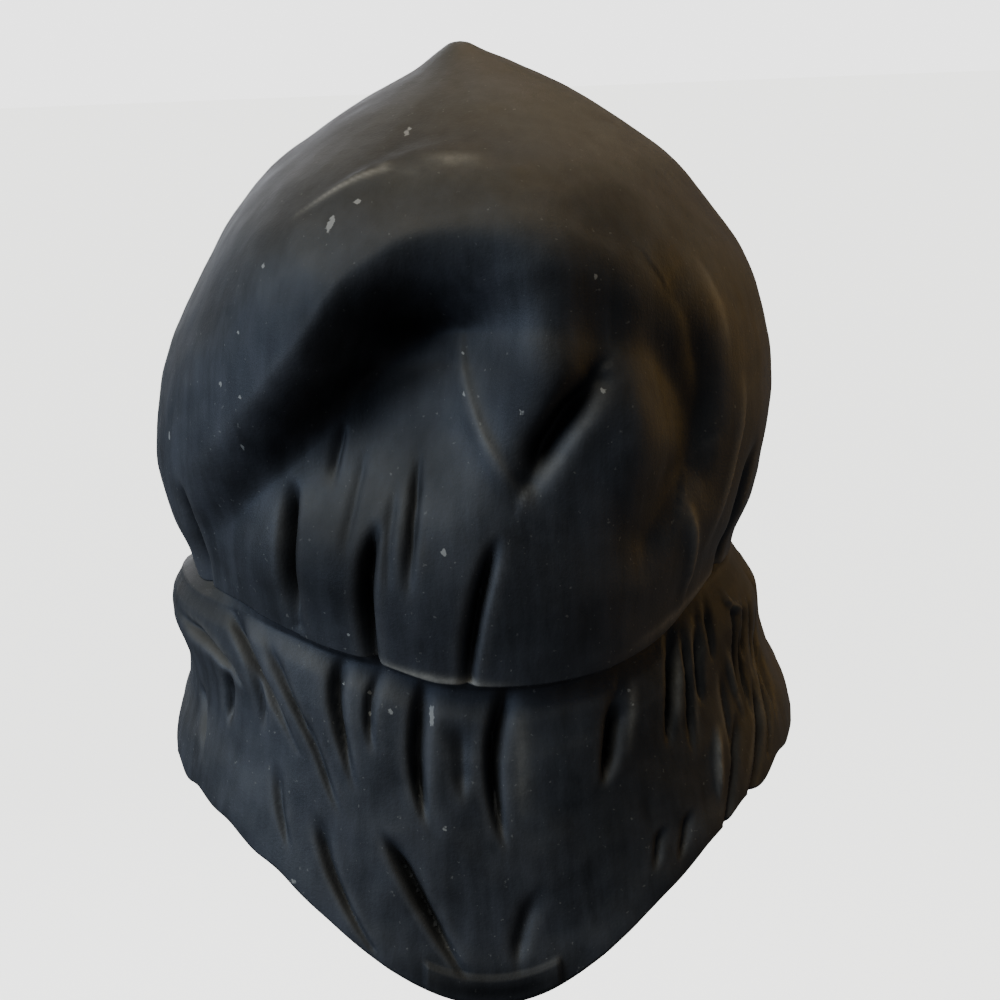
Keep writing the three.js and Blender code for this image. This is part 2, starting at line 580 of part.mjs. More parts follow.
// Bare raised strip that follows the collar's skin above its lower edge at the back.
function stripSolid() {
  const halfTurn = STRIP_WIDTH / 2 / MEAN_ARC;
  const length = hemHeight(0) - edgeHeight(0);
  const low = 1 - STRIP_MARGIN / length;
  const high = low - STRIP_HEIGHT / length;
  const loop = [
    { down: high, inset: WALL / 2 },
    { down: high, inset: -STRIP_RISE },
    { down: low, inset: -STRIP_RISE },
    { down: low, inset: WALL / 2 },
  ];
  const positions = [];
  const index = [];
  for (let k = 0; k <= STRIP_CELLS; k += 1) {
    const turn = -halfTurn + (2 * halfTurn * k) / STRIP_CELLS;
    for (const { down, inset } of loop) {
      positions.push(...collarSkin(turn, down, inset).toArray());
    }
  }
  for (let k = 0; k < STRIP_CELLS; k += 1) {
    for (let j = 0; j < 4; j += 1) {
      const a = k * 4 + j;
      const b = k * 4 + ((j + 1) % 4);
      index.push(a, b, a + 4, b, b + 4, a + 4);
    }
  }
  const end = STRIP_CELLS * 4;
  index.push(0, 2, 1, 0, 3, 2, end, end + 1, end + 2, end, end + 2, end + 3);
  return solidFrom(toGeometry({ positions, index }));
}

// The one-piece latex skin: hood, collar lapped under its hem, rim turned in round the face, and strip.
function makeHoodShell() {
  const turns = columnTurns();
  const stations = ringStations(HOOD_SECTIONS);
  const hoodOuter = stations.map((station) => (turn) => hoodSkin(turn, station, 0));
  const hoodInner = stations.map((station) => (turn) => hoodSkin(turn, station, WALL));
  const hood = solidFrom(toGeometry(shellGeometry(hoodOuter, hoodInner, turns)));
  const collarOuter = collarRings(0);
  const collarInner = collarRings(WALL);
  const collarShell = shellGeometry(collarOuter, collarInner, turns);
  const ringCount = collarOuter.length + collarInner.length;
  const collar = solidFrom(toGeometry(closeTube(collarShell, ringCount, turns.length)));
  const floor = () => new THREE.Vector3(0, 0, -HEM_FRONT);
  const filled = solidFrom(toGeometry(shellGeometry([...hoodOuter, floor], [], turns)));
  const rim = openingPlug(WALL, 0).intersect(filled);
  const skin = hood.add(collar).add(stripSolid()).add(rim);
  return new THREE.Mesh(geometryFrom(skin.subtract(openingPlug(0, RIM_OVERCUT))), latex);
}

// Height of the skull's relief at shares across and up the face.
function faceRelief(across, up) {
  let rise = 0;
  for (const form of FACE_RELIEF) {
    const sides = form.across === 0 ? [0] : [-form.across, form.across];
    for (const centre of sides) {
      const distance = Math.hypot((across - centre) / form.wide, (up - form.up) / form.tall);
      rise += form.rise * Math.exp(-(distance ** form.edge));
    }
  }
  return rise;
}

// Front of the face at a place across and up, in millimetres from the opening's middle.
function facePoint(x, up, inset) {
  const share = Math.hypot(x / (OPENING_WIDTH / 2), up / (OPENING_HEIGHT / 2));
  const dome = Math.max(FACE_SKIRT, 1 - share ** DOME_POWER);
  const relief = faceRelief(x / (OPENING_WIDTH / 2), up / (OPENING_HEIGHT / 2));
  const rise = dome + relief * smooth(dome * FORMS_RISE);
  return new THREE.Vector3(x, FACE_EDGE + FACE_DOME * rise - inset, up - OPENING_DROP);
}

// A hole right through the face, from an outline drawn round a middle at x and z.
function faceHole(shape, x, z) {
  const options = { depth: HOLE_LENGTH, bevelEnabled: false, curveSegments: HOLE_SEGMENTS, steps: 1 };
  const hole = new THREE.ExtrudeGeometry(shape, options);
  hole.rotateX(Math.PI / 2);
  hole.translate(x, HOLE_FRONT, z);
  return solidFrom(hole);
}

function eyeShape() {
  const shape = new THREE.Shape();
  shape.absellipse(0, 0, EYE_WIDTH / 2, EYE_HEIGHT / 2, 0, 2 * Math.PI);
  return shape;
}

// Pear-shaped nose opening, narrow at the bridge.
function noseShape() {
  const shape = new THREE.Shape();
  const half = NOSE_WIDTH / 2;
  const top = NOSE_HEIGHT / 2;
  const waist = NOSE_HEIGHT * NOSE_WIDEST;
  shape.moveTo(0, top);
  shape.quadraticCurveTo(half * NOSE_PINCH, waist, half, -waist);
  shape.quadraticCurveTo(half, -top, half * NOSE_FLAT, -top);
  shape.lineTo(-half * NOSE_FLAT, -top);
  shape.quadraticCurveTo(-half, -top, -half, -waist);
  shape.quadraticCurveTo(-half * NOSE_PINCH, waist, 0, top);
  return shape;
}

// Skull face: a domed latex plate with its relief on both sides, cut to the opening's outline a seat
// gap inside the rim, with holes for the eyes and nose.
function makeSkullFace() {
  const halfWidth = (OPENING_WIDTH / 2) * (1 + OPENING_EGG / 2);
  const halfHeight = OPENING_HEIGHT / 2;
  const across = Array.from({ length: FACE_COLUMNS + 1 }, (_, k) => halfWidth * ((2 * k) / FACE_COLUMNS - 1));
  const loop = [...across.toReversed().map((x) => [x, 0]), ...across.map((x) => [x, FACE_WALL])];
  const row = (r) => ([x, inset]) => facePoint(x, halfHeight * (1 - (2 * r) / FACE_ROWS), inset);
  const rows = Array.from({ length: FACE_ROWS + 1 }, (_, r) => row(r));
  const edgeMiddle = (r) => () => facePoint(0, halfHeight * (1 - (2 * r) / FACE_ROWS), FACE_WALL / 2);
  const plate = shellGeometry([edgeMiddle(0), ...rows, edgeMiddle(FACE_ROWS)], [], loop);
  let face = solidFrom(toGeometry(plate)).intersect(openingPlug(-SEAT_GAP, 0));
  const eyeHeight = -OPENING_DROP + (EYE_UP * OPENING_HEIGHT) / 2;
  for (const side of [-1, 1]) {
    face = face.subtract(faceHole(eyeShape(), (side * EYE_SPACING) / 2, eyeHeight));
  }
  face = face.subtract(faceHole(noseShape(), 0, -OPENING_DROP + (NOSE_UP * OPENING_HEIGHT) / 2));
  return new THREE.Mesh(geometryFrom(face), boneLatex);
}

const mask = new THREE.Group();

const hoodShell = makeHoodShell();
hoodShell.name = 'hood_shell';
mask.add(hoodShell);

const skullFace = makeSkullFace();
skullFace.name = 'skull_face';
mask.add(skullFace);

export default mask;
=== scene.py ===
"""Looks of a rubber grim reaper mask: a slush-cast black latex hood and collar round a painted skull face."""

import logging
import math
from dataclasses import dataclass, field
from enum import Enum
from typing import Any, Callable, Sequence

import bmesh
import bpy
import numpy as np
from mathutils import Matrix, Vector, noise
from mathutils.bvhtree import BVHTree


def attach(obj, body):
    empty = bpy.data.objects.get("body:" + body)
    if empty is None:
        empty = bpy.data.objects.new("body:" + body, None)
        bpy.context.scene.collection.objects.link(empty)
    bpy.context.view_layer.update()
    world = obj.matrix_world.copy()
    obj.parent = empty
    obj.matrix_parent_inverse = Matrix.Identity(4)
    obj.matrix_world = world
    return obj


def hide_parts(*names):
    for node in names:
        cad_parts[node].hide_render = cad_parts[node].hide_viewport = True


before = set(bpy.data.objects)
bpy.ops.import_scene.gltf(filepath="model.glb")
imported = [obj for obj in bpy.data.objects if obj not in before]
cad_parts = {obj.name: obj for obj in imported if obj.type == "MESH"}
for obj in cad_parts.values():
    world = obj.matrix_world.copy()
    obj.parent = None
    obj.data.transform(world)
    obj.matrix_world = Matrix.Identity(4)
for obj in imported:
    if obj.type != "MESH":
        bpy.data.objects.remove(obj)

log = logging.getLogger("reaper_mask")

MM = 0.001
DEGREE = math.pi / 180.0
TINY = 1e-12


class Slot(Enum):
    """Material slots of the record."""

    BLACK_LATEX = "black_latex"
    BONE_LATEX = "bone_latex"


# Small helpers


def linear(hex_colour: str) -> tuple[float, float, float, float]:
    """Turns an sRGB hex colour into linear RGBA.

    Args:
        hex_colour: Six hex digits, such as "26272a".

    Returns:
        Linear red, green, blue and an alpha of one.
    """
    values = [int(hex_colour[i:i + 2], 16) / 255.0 for i in (0, 2, 4)]
    red, green, blue = (v / 12.92 if v <= 0.04045 else ((v + 0.055) / 1.055) ** 2.4 for v in values)
    return red, green, blue, 1.0


def smooth(value: np.ndarray | float) -> np.ndarray:
    """Rises smoothly from 0 to 1 as the value does."""
    t = np.clip(value, 0.0, 1.0)
    return t * t * (3.0 - 2.0 * t)


def turn_between(turn: np.ndarray, origin: float) -> np.ndarray:
    """Smallest signed difference between turns, in degrees."""
    return (turn - origin + 180.0) % 360.0 - 180.0


def catmull(table: np.ndarray, station: np.ndarray) -> np.ndarray:
    """Blends the rows of a table smoothly at fractional stations.

    Args:
        table: One row for each section.
        station: Fractional row numbers, of any shape.

    Returns:
        Array of the stations' shape with the table's columns last.
    """
    low = np.clip(np.floor(station).astype(int), 0, len(table) - 2)
    f = (station - low)[..., None]
    p0, p1, p2, p3 = (table[np.clip(low + k, 0, len(table) - 1)] for k in (-1, 0, 1, 2))
    cubic = -p0 + 3 * p1 - 3 * p2 + p3
    square = 2 * p0 - 5 * p1 + 4 * p2 - p3
    return p1 + 0.5 * ((p2 - p0) * f + square * f ** 2 + cubic * f ** 3)


@dataclass(frozen=True)
class Section:
    """Plan section of a skin: its level and its four half lengths, as shares of the named sizes."""

    level: float
    left: float
    right: float
    back: float
    front: float


def length_table(sections: Sequence[Section], width: float, back: float, front: float) -> np.ndarray:
    """Turns sections into a table of lengths.

    Args:
        sections: The sections.
        width: Full width that the left and right shares are taken of.
        back: Length that the back shares are taken of.
        front: Length that the front shares are taken of.

    Returns:
        A row for each section: its level, still a share, and its four half lengths.
    """
    shares = np.array([(s.level, s.left, s.right, s.back, s.front) for s in sections])
    return shares * (1.0, width / 2, width / 2, back, front)


@dataclass(frozen=True)
class Lip:
    """The crown roll's lower lip at a turn: its height, its depth below and how far down it fades."""

    turn: float
    height: float
    deep: float
    reach: float


@dataclass(frozen=True)
class Swell:
    """Rounded swell, or a dent where rise is negative."""

    turn: float
    height: float
    wide: float
    tall: float
    rise: float


@dataclass(frozen=True)
class Fold:
    """Fold through three (turn, height) points, with a steep side (near) and a soft side (far)."""

    a: tuple[float, float]
    b: tuple[float, float]
    c: tuple[float, float]
    deep: float
    near: float
    far: float
    start: float = 0.1
    end: float = 0.1


@dataclass(frozen=True)
class Scuff:
    """Rubbed fleck of the skin: its turn, then its height and its half sizes in millimetres."""

    turn: float
    height: float
    wide: float
    tall: float


@dataclass(frozen=True)
class Form:
    """Swell or hollow of the skull, in shares of the opening's half sizes; off the middle it is mirrored."""

    across: float
    up: float
    wide: float
    tall: float
    rise: float
    edge: float = 2.0


HOOD_SECTIONS = (
    Section(1.00, 0.00, 0.00, 0.00, 0.00),
    Section(0.985, 0.03, 0.03, 0.03, 0.03),
    Section(0.94, 0.06, 0.07, 0.07, 0.08),
    Section(0.80, 0.14, 0.19, 0.18, 0.22),
    Section(0.62, 0.28, 0.34, 0.34, 0.40),
    Section(0.39, 0.44, 0.48, 0.53, 0.58),
    Section(0.11, 0.60, 0.63, 0.73, 0.76),
    Section(-0.08, 0.73, 0.75, 0.88, 0.89),
    Section(-0.22, 0.84, 0.87, 0.97, 0.96),
    Section(-0.37, 0.94, 0.93, 1.00, 1.00),
    Section(-0.52, 1.00, 0.95, 0.99, 1.00),
    Section(-0.68, 1.02, 0.93, 0.98, 0.98),
    Section(-0.83, 0.99, 0.89, 0.97, 0.93),
    Section(-0.93, 0.95, 0.84, 0.95, 0.89),
    Section(-1.00, 0.93, 0.82, 0.94, 0.86),
)

COLLAR_SECTIONS = (
    Section(0.05, 0.94, 0.79, 0.84, 0.82),
    Section(0.14, 0.97, 0.83, 0.87, 0.84),
    Section(0.26, 0.98, 0.87, 0.89, 0.87),
    Section(0.46, 0.94, 0.88, 0.92, 0.90),
    Section(0.63, 0.94, 0.91, 0.95, 0.93),
    Section(0.82, 0.98, 0.96, 0.97, 0.96),
    Section(1.00, 1.00, 0.98, 1.00, 1.00),
)

# Turn, lowness of the hood's hem from its side (0) to its middle (1), and how much of the step shows there
HEM_SHARES = (
    (-180, 1.00, 0.80),
    (-168, 0.95, 0.80),
    (-150, 0.74, 0.80),
    (-130, 0.41, 0.70),
    (-105, 0.07, 0.40),
    (-88, 0.00, 0.25),
    (-60, -0.03, 0.15),
    (-46, 0.02, 0.20),
    (-36, 0.22, 0.20),
    (-28, 0.42, 0.28),
    (-17, 0.64, 0.55),
    (-7, 0.94, 0.75),
    (8, 1.04, 0.55),
    (18, 1.00, 0.55),
    (26, 0.86, 0.75),
    (34, 0.66, 1.00),
    (41, 0.38, 1.00),
    (50, 0.08, 1.00),
    (62, 0.00, 1.00),
    (88, 0.00, 0.80),
    (105, 0.07, 0.70),
    (130, 0.41, 0.80),
    (150, 0.74, 0.80),
    (168, 0.95, 0.80),
    (180, 1.00, 0.80),
)

LIPS = (
    Lip(-64, -0.82, 0.00, 0.12),
    Lip(-50, -0.69, 0.24, 0.18),
    Lip(-37, -0.54, 0.46, 0.24),
    Lip(-27, -0.41, 0.74, 0.32),
    Lip(-19, -0.27, 0.96, 0.42),
    Lip(-9, -0.19, 1.00, 0.44),
    Lip(1, -0.18, 0.84, 0.34),
    Lip(12, -0.20, 0.50, 0.24),
    Lip(24, -0.24, 0.34, 0.22),
    Lip(34, -0.32, 0.26, 0.22),
    Lip(46, -0.52, 0.00, 0.14),
)

HOOD_SWELLS = (
    Swell(12, -0.32, 0.16, 0.18, 1.50),
    Swell(4, -0.97, 0.50, 0.20, 0.60),
    Swell(27, -0.45, 0.11, 0.20, 0.70),
    Swell(-12, -0.78, 0.40, 0.14, 0.30),
    Swell(-34, -0.16, 0.34, 0.16, 0.45),
    Swell(18, -0.04, 0.34, 0.12, 0.35),
    Swell(-112, -0.60, 0.26, 0.34, 0.50),
    Swell(110, -0.55, 0.26, 0.34, 0.50),
)

HOOD_FOLDS = (
    Fold((20, -0.41), (14, -0.51), (9, -0.62), 1.45, 0.032, 0.050, 0.35, 0.35),
    Fold((-1, -0.24), (0, -0.46), (8, -0.65), -0.26, 0.018, 0.035, 0.2, 0.2),
    Fold((37, -0.26), (43, -0.45), (40, -0.64), 0.75, 0.080, 0.110, 0.4, 0.6),
    Fold((40, -0.64), (32, -0.74), (26, -0.90), 0.45, 0.070, 0.100, 0.6, 0.1),
    Fold((-58, -0.66), (-59, -0.80), (-60, -0.95), 0.75, 0.018, 0.034, 0.0, 0.4),
    Fold((-34, -0.63), (-33, -0.80), (-32, -0.96), 1.05, 0.018, 0.025, 0.0, 0.2),
    Fold((-25, -0.50), (-26, -0.58), (-26, -0.66), 0.30, 0.014, 0.024, 0.0, 0.0),
    Fold((-16, -0.70), (-18, -0.86), (-18, -1.03), 1.00, 0.016, 0.022, 0.0, 0.6),
    Fold((-9, -0.55), (-10, -0.72), (-11, -0.88), 0.42, 0.010, 0.018, 0.0, 0.0),
    Fold((4, -0.72), (0, -0.90), (-2, -1.07), 0.95, 0.013, 0.020, 0.0, 0.5),
    Fold((-20, -0.56), (-21, -0.68), (-22, -0.80), 0.18, 0.012, 0.020, 0.0, 0.0),
    Fold((-13, -0.62), (-14, -0.74), (-14, -0.88), 0.18, 0.012, 0.020, 0.0, 0.0),
    Fold((38, -0.70), (40, -0.84), (39, -0.97), -0.25, 0.016, 0.030, 0.0, 0.3),
    Fold((62, -0.62), (59, -0.80), (57, -0.96), 0.55, 0.020, 0.045, 0.0, 0.6),
    Fold((54, -0.44), (51, -0.65), (45, -0.84), -0.20, 0.014, 0.035, 0.0, 0.1),
    Fold((-33, -0.06), (-14, 0.06), (12, 0.08), -0.20, 0.016, 0.060, 0.0, 0.0),
    Fold((-88, -0.55), (-86, -0.78), (-84, -0.98), 0.70, 0.040, 0.085, 0.0, 0.8),
    Fold((90, -0.50), (88, -0.74), (87, -0.98), 0.70, 0.040, 0.085, 0.0, 0.8),
)

COLLAR_FOLDS = (
    Fold((-70, 0.20), (-56, 0.25), (-46, 0.36), 0.55, 0.021, 0.036, 0.2, 0.3),
    Fold((-49, 0.33), (-50, 0.47), (-50, 0.62), 0.45, 0.019, 0.029, 0.2, 0.0),
    Fold((-44, 0.22), (-41, 0.36), (-41, 0.52), 0.32, 0.017, 0.023, 0.1, 0.0),
    Fold((-50, 0.06), (-43, 0.22), (-33, 0.48), 0.55, 0.019, 0.029, 0.3, 0.1),
    Fold((-40, 0.10), (-35, 0.26), (-28, 0.48), 0.38, 0.017, 0.023, 0.2, 0.0),
    Fold((-25, 0.06), (-26, 0.22), (-22, 0.50), 0.62, 0.017, 0.033, 0.4, 0.0),
    Fold((-18, 0.05), (-20, 0.19), (-19, 0.34), 0.32, 0.014, 0.020, 0.3, 0.0),
    Fold((-10, 0.02), (-12, 0.27), (-10, 0.50), 0.78, 0.017, 0.035, 0.3, 0.0),
    Fold((-4, 0.12), (-4, 0.26), (-4, 0.40), 0.25, 0.043, 0.032, 0.0, 0.0),
    Fold((4, 0.06), (1, 0.27), (3, 0.54), 0.95, 0.017, 0.035, 0.6, 0.0),
    Fold((24, 0.16), (22, 0.30), (20, 0.45), 0.85, 0.021, 0.040, 0.2, 0.0),
    Fold((38, 0.08), (35, 0.28), (33, 0.50), 0.65, 0.017, 0.030, 0.4, 0.0),
    Fold((45, 0.12), (42, 0.30), (42, 0.48), 0.42, 0.015, 0.024, 0.3, 0.0),
    Fold((49, 0.10), (47, 0.22), (46, 0.36), 0.30, 0.014, 0.020, 0.3, 0.0),
    Fold((63, 0.22), (60, 0.36), (58, 0.50), 0.42, 0.021, 0.032, 0.2, 0.0),
    Fold((54, 0.12), (57, 0.20), (60, 0.26), -0.30, 0.014, 0.028, 0.1, 0.0),
    Fold((51, 0.32), (51, 0.50), (52, 0.70), -0.25, 0.014, 0.030, 0.0, 0.0),
    Fold((44, 0.58), (42, 0.74), (41, 0.92), -0.25, 0.014, 0.030, 0.0, 0.0),
    Fold((-37, 0.58), (-36, 0.74), (-33, 0.90), 0.30, 0.015, 0.023, 0.0, 0.0),
    Fold((-28, 0.64), (-26, 0.82), (-19, 0.97), 0.42, 0.017, 0.030, 0.0, 0.3),
    Fold((-17, 0.56), (-12, 0.72), (-5, 0.91), 0.88, 0.017, 0.042, 0.0, 0.2),
    Fold((9, 0.64), (5, 0.78), (4, 0.90), 0.32, 0.033, 0.036, 0.0, 0.2),
    Fold((29, 0.74), (28, 0.81), (27, 0.89), 0.22, 0.014, 0.020, 0.0, 0.0),
    Fold((34, 0.78), (33, 0.86), (31, 0.94), 0.22, 0.014, 0.020, 0.0, 0.0),
    Fold((-64, 0.50), (-60, 0.66), (-56, 0.84), 0.30, 0.017, 0.029, 0.0, 0.1),
    Fold((70, 0.52), (66, 0.68), (62, 0.86), 0.30, 0.017, 0.029, 0.0, 0.1),
    Fold((-78, 0.10), (-76, 0.34), (-72, 0.60), 0.45, 0.021, 0.035, 0.3, 0.0),
    Fold((77, 0.10), (76, 0.32), (74, 0.58), 0.45, 0.021, 0.035, 0.3, 0.0),
    Fold((58, 0.30), (56, 0.50), (54, 0.74), 0.25, 0.012, 0.020, 0.0, 0.0),
    Fold((66, 0.20), (64, 0.40), (61, 0.64), 0.28, 0.012, 0.022, 0.1, 0.0),
    Fold((48, 0.40), (47, 0.60), (45, 0.86), 0.22, 0.012, 0.020, 0.0, 0.0),
    Fold((71, 0.30), (68, 0.50), (63, 0.76), 0.25, 0.012, 0.022, 0.0, 0.0),
    Fold((-31, 0.30), (-29, 0.44), (-24, 0.62), 0.22, 0.012, 0.022, 0.0, 0.0),
    Fold((41, 0.06), (39, 0.32), (37, 0.64), 0.32, 0.010, 0.020, 0.0, 0.0),
    Fold((58, 0.10), (54, 0.36), (50, 0.68), 0.32, 0.010, 0.022, 0.0, 0.0),
    Fold((68, 0.40), (63, 0.64), (56, 0.92), 0.42, 0.014, 0.028, 0.0, 0.3),
    Fold((60, 0.58), (55, 0.78), (48, 1.00), 0.42, 0.014, 0.028, 0.0, 0.7),
    Fold((50, 0.62), (46, 0.80), (41, 1.00), 0.32, 0.012, 0.024, 0.0, 0.7),
    Fold((-92, 0.05), (-94, 0.30), (-92, 0.58), 0.70, 0.032, 0.060, 0.5, 0.0),
    Fold((90, 0.05), (92, 0.30), (90, 0.58), 0.70, 0.032, 0.060, 0.5, 0.0),
    Fold((-109, 0.08), (-112, 0.30), (-114, 0.56), 0.50, 0.028, 0.055, 0.4, 0.0),
    Fold((108, 0.08), (110, 0.28), (113, 0.54), 0.50, 0.028, 0.055, 0.4, 0.0),
    Fold((-128, 0.05), (-132, 0.30), (-140, 0.62), 0.80, 0.035, 0.070, 0.5, 0.0),
    Fold((127, 0.05), (133, 0.30), (139, 0.60), 0.80, 0.035, 0.070, 0.5, 0.0),
    Fold((-158, 0.10), (-162, 0.34), (-168, 0.66), 0.70, 0.035, 0.070, 0.4, 0.0),
    Fold((160, 0.10), (164, 0.32), (170, 0.60), 0.70, 0.035, 0.070, 0.4, 0.0),
)

# Painted shade: each row darkens the hood's colour and takes away its sheen where shade falls, over the
# hollow, the pouch, the pleats and the crown's edges.
HOOD_PAINTED_SHADES = (
    Fold((-24, -0.28), (-12, -0.26), (-3, -0.33), 0.78, 0.170, 0.150, 0.6, 0.6),
    Fold((-22, -0.38), (-32, -0.50), (-46, -0.68), 0.55, 0.080, 0.080, 0.8, 0.3),
    Fold((4, -0.36), (12, -0.40), (20, -0.38), 0.55, 0.130, 0.150, 0.8, 0.8),
    Fold((-36, -0.84), (-26, -0.80), (-12, -0.76), 0.62, 0.180, 0.200, 0.6, 0.7),
    Fold((-34, -0.08), (-6, 0.02), (26, -0.06), 0.50, 0.190, 0.190, 0.6, 0.8),
    Fold((-12, -0.46), (-9, -0.58), (-8, -0.70), 0.45, 0.150, 0.150, 0.8, 0.6),
    Fold((-5, -0.38), (-16, -0.45), (-32, -0.58), 0.72, 0.110, 0.110, 0.7, 0.4),
    Fold((2, -0.20), (14, -0.19), (26, -0.24), 0.45, 0.060, 0.070, 0.8, 0.4),
    Fold((-92, -0.24), (-72, 0.03), (-38, 0.16), 0.42, 0.150, 0.130, 0.6, 0.5),
    Fold((-22, -0.18), (0, -0.09), (26, -0.15), 0.46, 0.110, 0.110, 0.6, 0.6),
    Fold((30, -0.16), (38, -0.34), (40, -0.60), 0.30, 0.110, 0.110, 0.6, 0.6),
)

# Painted shade: each row darkens the collar's colour and takes away its sheen, over its right half, its left
# shoulder and along the strip.
COLLAR_PAINTED_SHADES = (
    Fold((10, 0.40), (22, 0.52), (36, 0.40), 0.50, 0.300, 0.300, 0.6, 0.8),
    Fold((50, 0.26), (56, 0.50), (50, 0.84), 0.55, 0.240, 0.240, 0.8, 0.6),
    Fold((-78, 0.04), (-64, 0.06), (-50, 0.12), 0.40, 0.090, 0.090, 0.8, 0.8),
    Fold((-10, 0.96), (0, 0.955), (10, 0.96), 0.85, 0.060, 0.060, 0.7, 0.7),
)

HOOD_LINES = (
    Fold((-33, -0.057), (-23, 0.012), (-12, 0.045), 0.90, 0.005, 0.009, 0.2, 0.4),
    Fold((-12, 0.045), (-2, 0.052), (9, 0.063), 0.62, 0.005, 0.008, 0.4, 0.2),
    Fold((-22, 0.00), (-4, 0.04), (14, 0.03), 0.16, 0.020, 0.050),
    Fold((22, -0.42), (16, -0.52), (10, -0.63), 0.20, 0.016, 0.012, 0.2, 0.3),
    Fold((-1, -0.33), (1, -0.49), (8, -0.65), 0.10, 0.012, 0.016, 0.3, 0.4),
    Fold((-18, -1.02), (-8, -1.06), (6, -1.08), 0.75, 0.012, 0.018, 0.2, 0.1),
    Fold((22, -1.06), (44, -0.97), (64, -0.93), 0.35, 0.016, 0.020, 0.1, 0.3),
    Fold((44, -0.16), (48, -0.28), (50, -0.42), 0.30, 0.014, 0.030),
    Fold((54, -0.44), (51, -0.65), (45, -0.84), 0.40, 0.010, 0.016),
    Fold((38, -0.70), (40, -0.84), (39, -0.97), 0.35, 0.010, 0.016),
)

COLLAR_LINES = (
    Fold((-70, 0.16), (-56, 0.21), (-46, 0.32), 0.30, 0.014, 0.020),
    Fold((7, 0.05), (6, 0.25), (6, 0.48), 0.25, 0.018, 0.030),
    Fold((28, 0.10), (27, 0.22), (25, 0.40), 0.35, 0.010, 0.016),
    Fold((40, 0.10), (37, 0.28), (36, 0.48), 0.40, 0.010, 0.014),
    Fold((54, 0.12), (57, 0.20), (60, 0.26), 0.45, 0.010, 0.014),
    Fold((51, 0.32), (51, 0.50), (52, 0.70), 0.45, 0.010, 0.014),
    Fold((44, 0.58), (42, 0.74), (41, 0.92), 0.45, 0.010, 0.014),
    Fold((56, 0.40), (55, 0.60), (54, 0.84), 0.35, 0.008, 0.012),
    Fold((47, 0.36), (46, 0.56), (45, 0.80), 0.30, 0.008, 0.012),
    Fold((62, 0.36), (60, 0.58), (59, 0.86), 0.30, 0.008, 0.012),
    Fold((43, 0.08), (41, 0.32), (39, 0.62), 0.30, 0.006, 0.010),
    Fold((66, 0.42), (61, 0.64), (54, 0.92), 0.35, 0.008, 0.012),
    Fold((58, 0.60), (53, 0.78), (46, 0.98), 0.30, 0.008, 0.012),
)

SCUFFS = (
    Scuff(-16, 21, 2.6, 1.5),
    Scuff(-6, 28, 2.0, 1.0),
    Scuff(-24, -13, 2.0, 2.4),
    Scuff(-20, -5, 1.7, 1.2),
    Scuff(-36, -29, 1.0, 1.0),
    Scuff(-40, -53, 0.9, 0.9),
    Scuff(-44, -73, 0.9, 1.2),
    Scuff(-39, -77, 0.9, 0.9),
    Scuff(-62, -100, 1.2, 2.0),
    Scuff(-41, -98, 0.6, 1.9),
    Scuff(21, -76, 1.1, 1.1),
    Scuff(8, -82, 0.9, 0.9),
    Scuff(-5, -135, 1.0, 1.8),
    Scuff(21, -34, 0.9, 0.9),
    Scuff(-1, -60, 0.8, 0.8),
    Scuff(-1, -78, 0.8, 0.9),
    Scuff(-22, -170, 0.9, 0.9),
    Scuff(-26, -162, 0.7, 0.7),
    Scuff(-9, -205, 1.0, 5.0),
    Scuff(-25, -193, 0.9, 0.9),
    Scuff(-20, -196, 0.9, 0.9),
    Scuff(-16, -203, 1.2, 1.2),
    Scuff(-20, -205, 0.8, 1.1),
    Scuff(-7, -250, 0.9, 0.9),
    Scuff(27, -202, 0.8, 1.2),
    Scuff(27, -208, 0.8, 0.8),
    Scuff(-32, -275, 1.5, 0.9),
)

SKULL_FORMS = (
    Form(0.41, 0.19, 0.30, 0.24, -0.62, 4.0),
    Form(0.38, 0.48, 0.34, 0.11, 0.22),
    Form(0.00, 0.40, 0.12, 0.12, -0.10),
    Form(0.00, 0.08, 0.11, 0.20, 0.24),
    Form(0.00, -0.20, 0.18, 0.19, -0.40, 4.0),
    Form(0.62, -0.13, 0.24, 0.10, 0.34),
    Form(0.57, -0.45, 0.20, 0.22, -0.44),
    Form(0.00, -0.44, 0.36, 0.09, 0.22),
    Form(0.00, -0.545, 0.34, 0.035, -0.12),
    Form(0.00, -0.64, 0.32, 0.08, 0.18),
    Form(0.00, -0.86, 0.26, 0.11, 0.22),
    Form(0.84, 0.32, 0.16, 0.24, -0.24),
)


@dataclass
class Opening:
    """The egg-shaped face opening and its sleeve down to the face's seat."""

    width: float = 148 * MM
    height: float = 178 * MM
    drop: float = 107 * MM
    egg: float = 0.14
    flare: float = 6 * MM
    rim_depth: float = 58 * MM
    seat_forward: float = 84 * MM
    seat_straight: float = 8 * MM
    seat_gap: float = 0.3 * MM

    @property
    def flare_start(self) -> float:
        """Place in front of the seat where the sleeve starts to flare."""
        return self.seat_forward + self.seat_straight

    def outline(self, angle: np.ndarray, margin: float | np.ndarray) -> tuple[np.ndarray, np.ndarray]:
        """Outline at angles from its top.

        Args:
            angle: Radians clockwise from the top, seen from the back.
            margin: How far the outline is grown.

        Returns:
            Its x and z.
        """
        half_width = self.width / 2 + margin
        half_height = self.height / 2 + margin
        x = half_width * np.sin(angle) * (1 + self.egg * np.cos(angle))
        return x, half_height * np.cos(angle) - self.drop


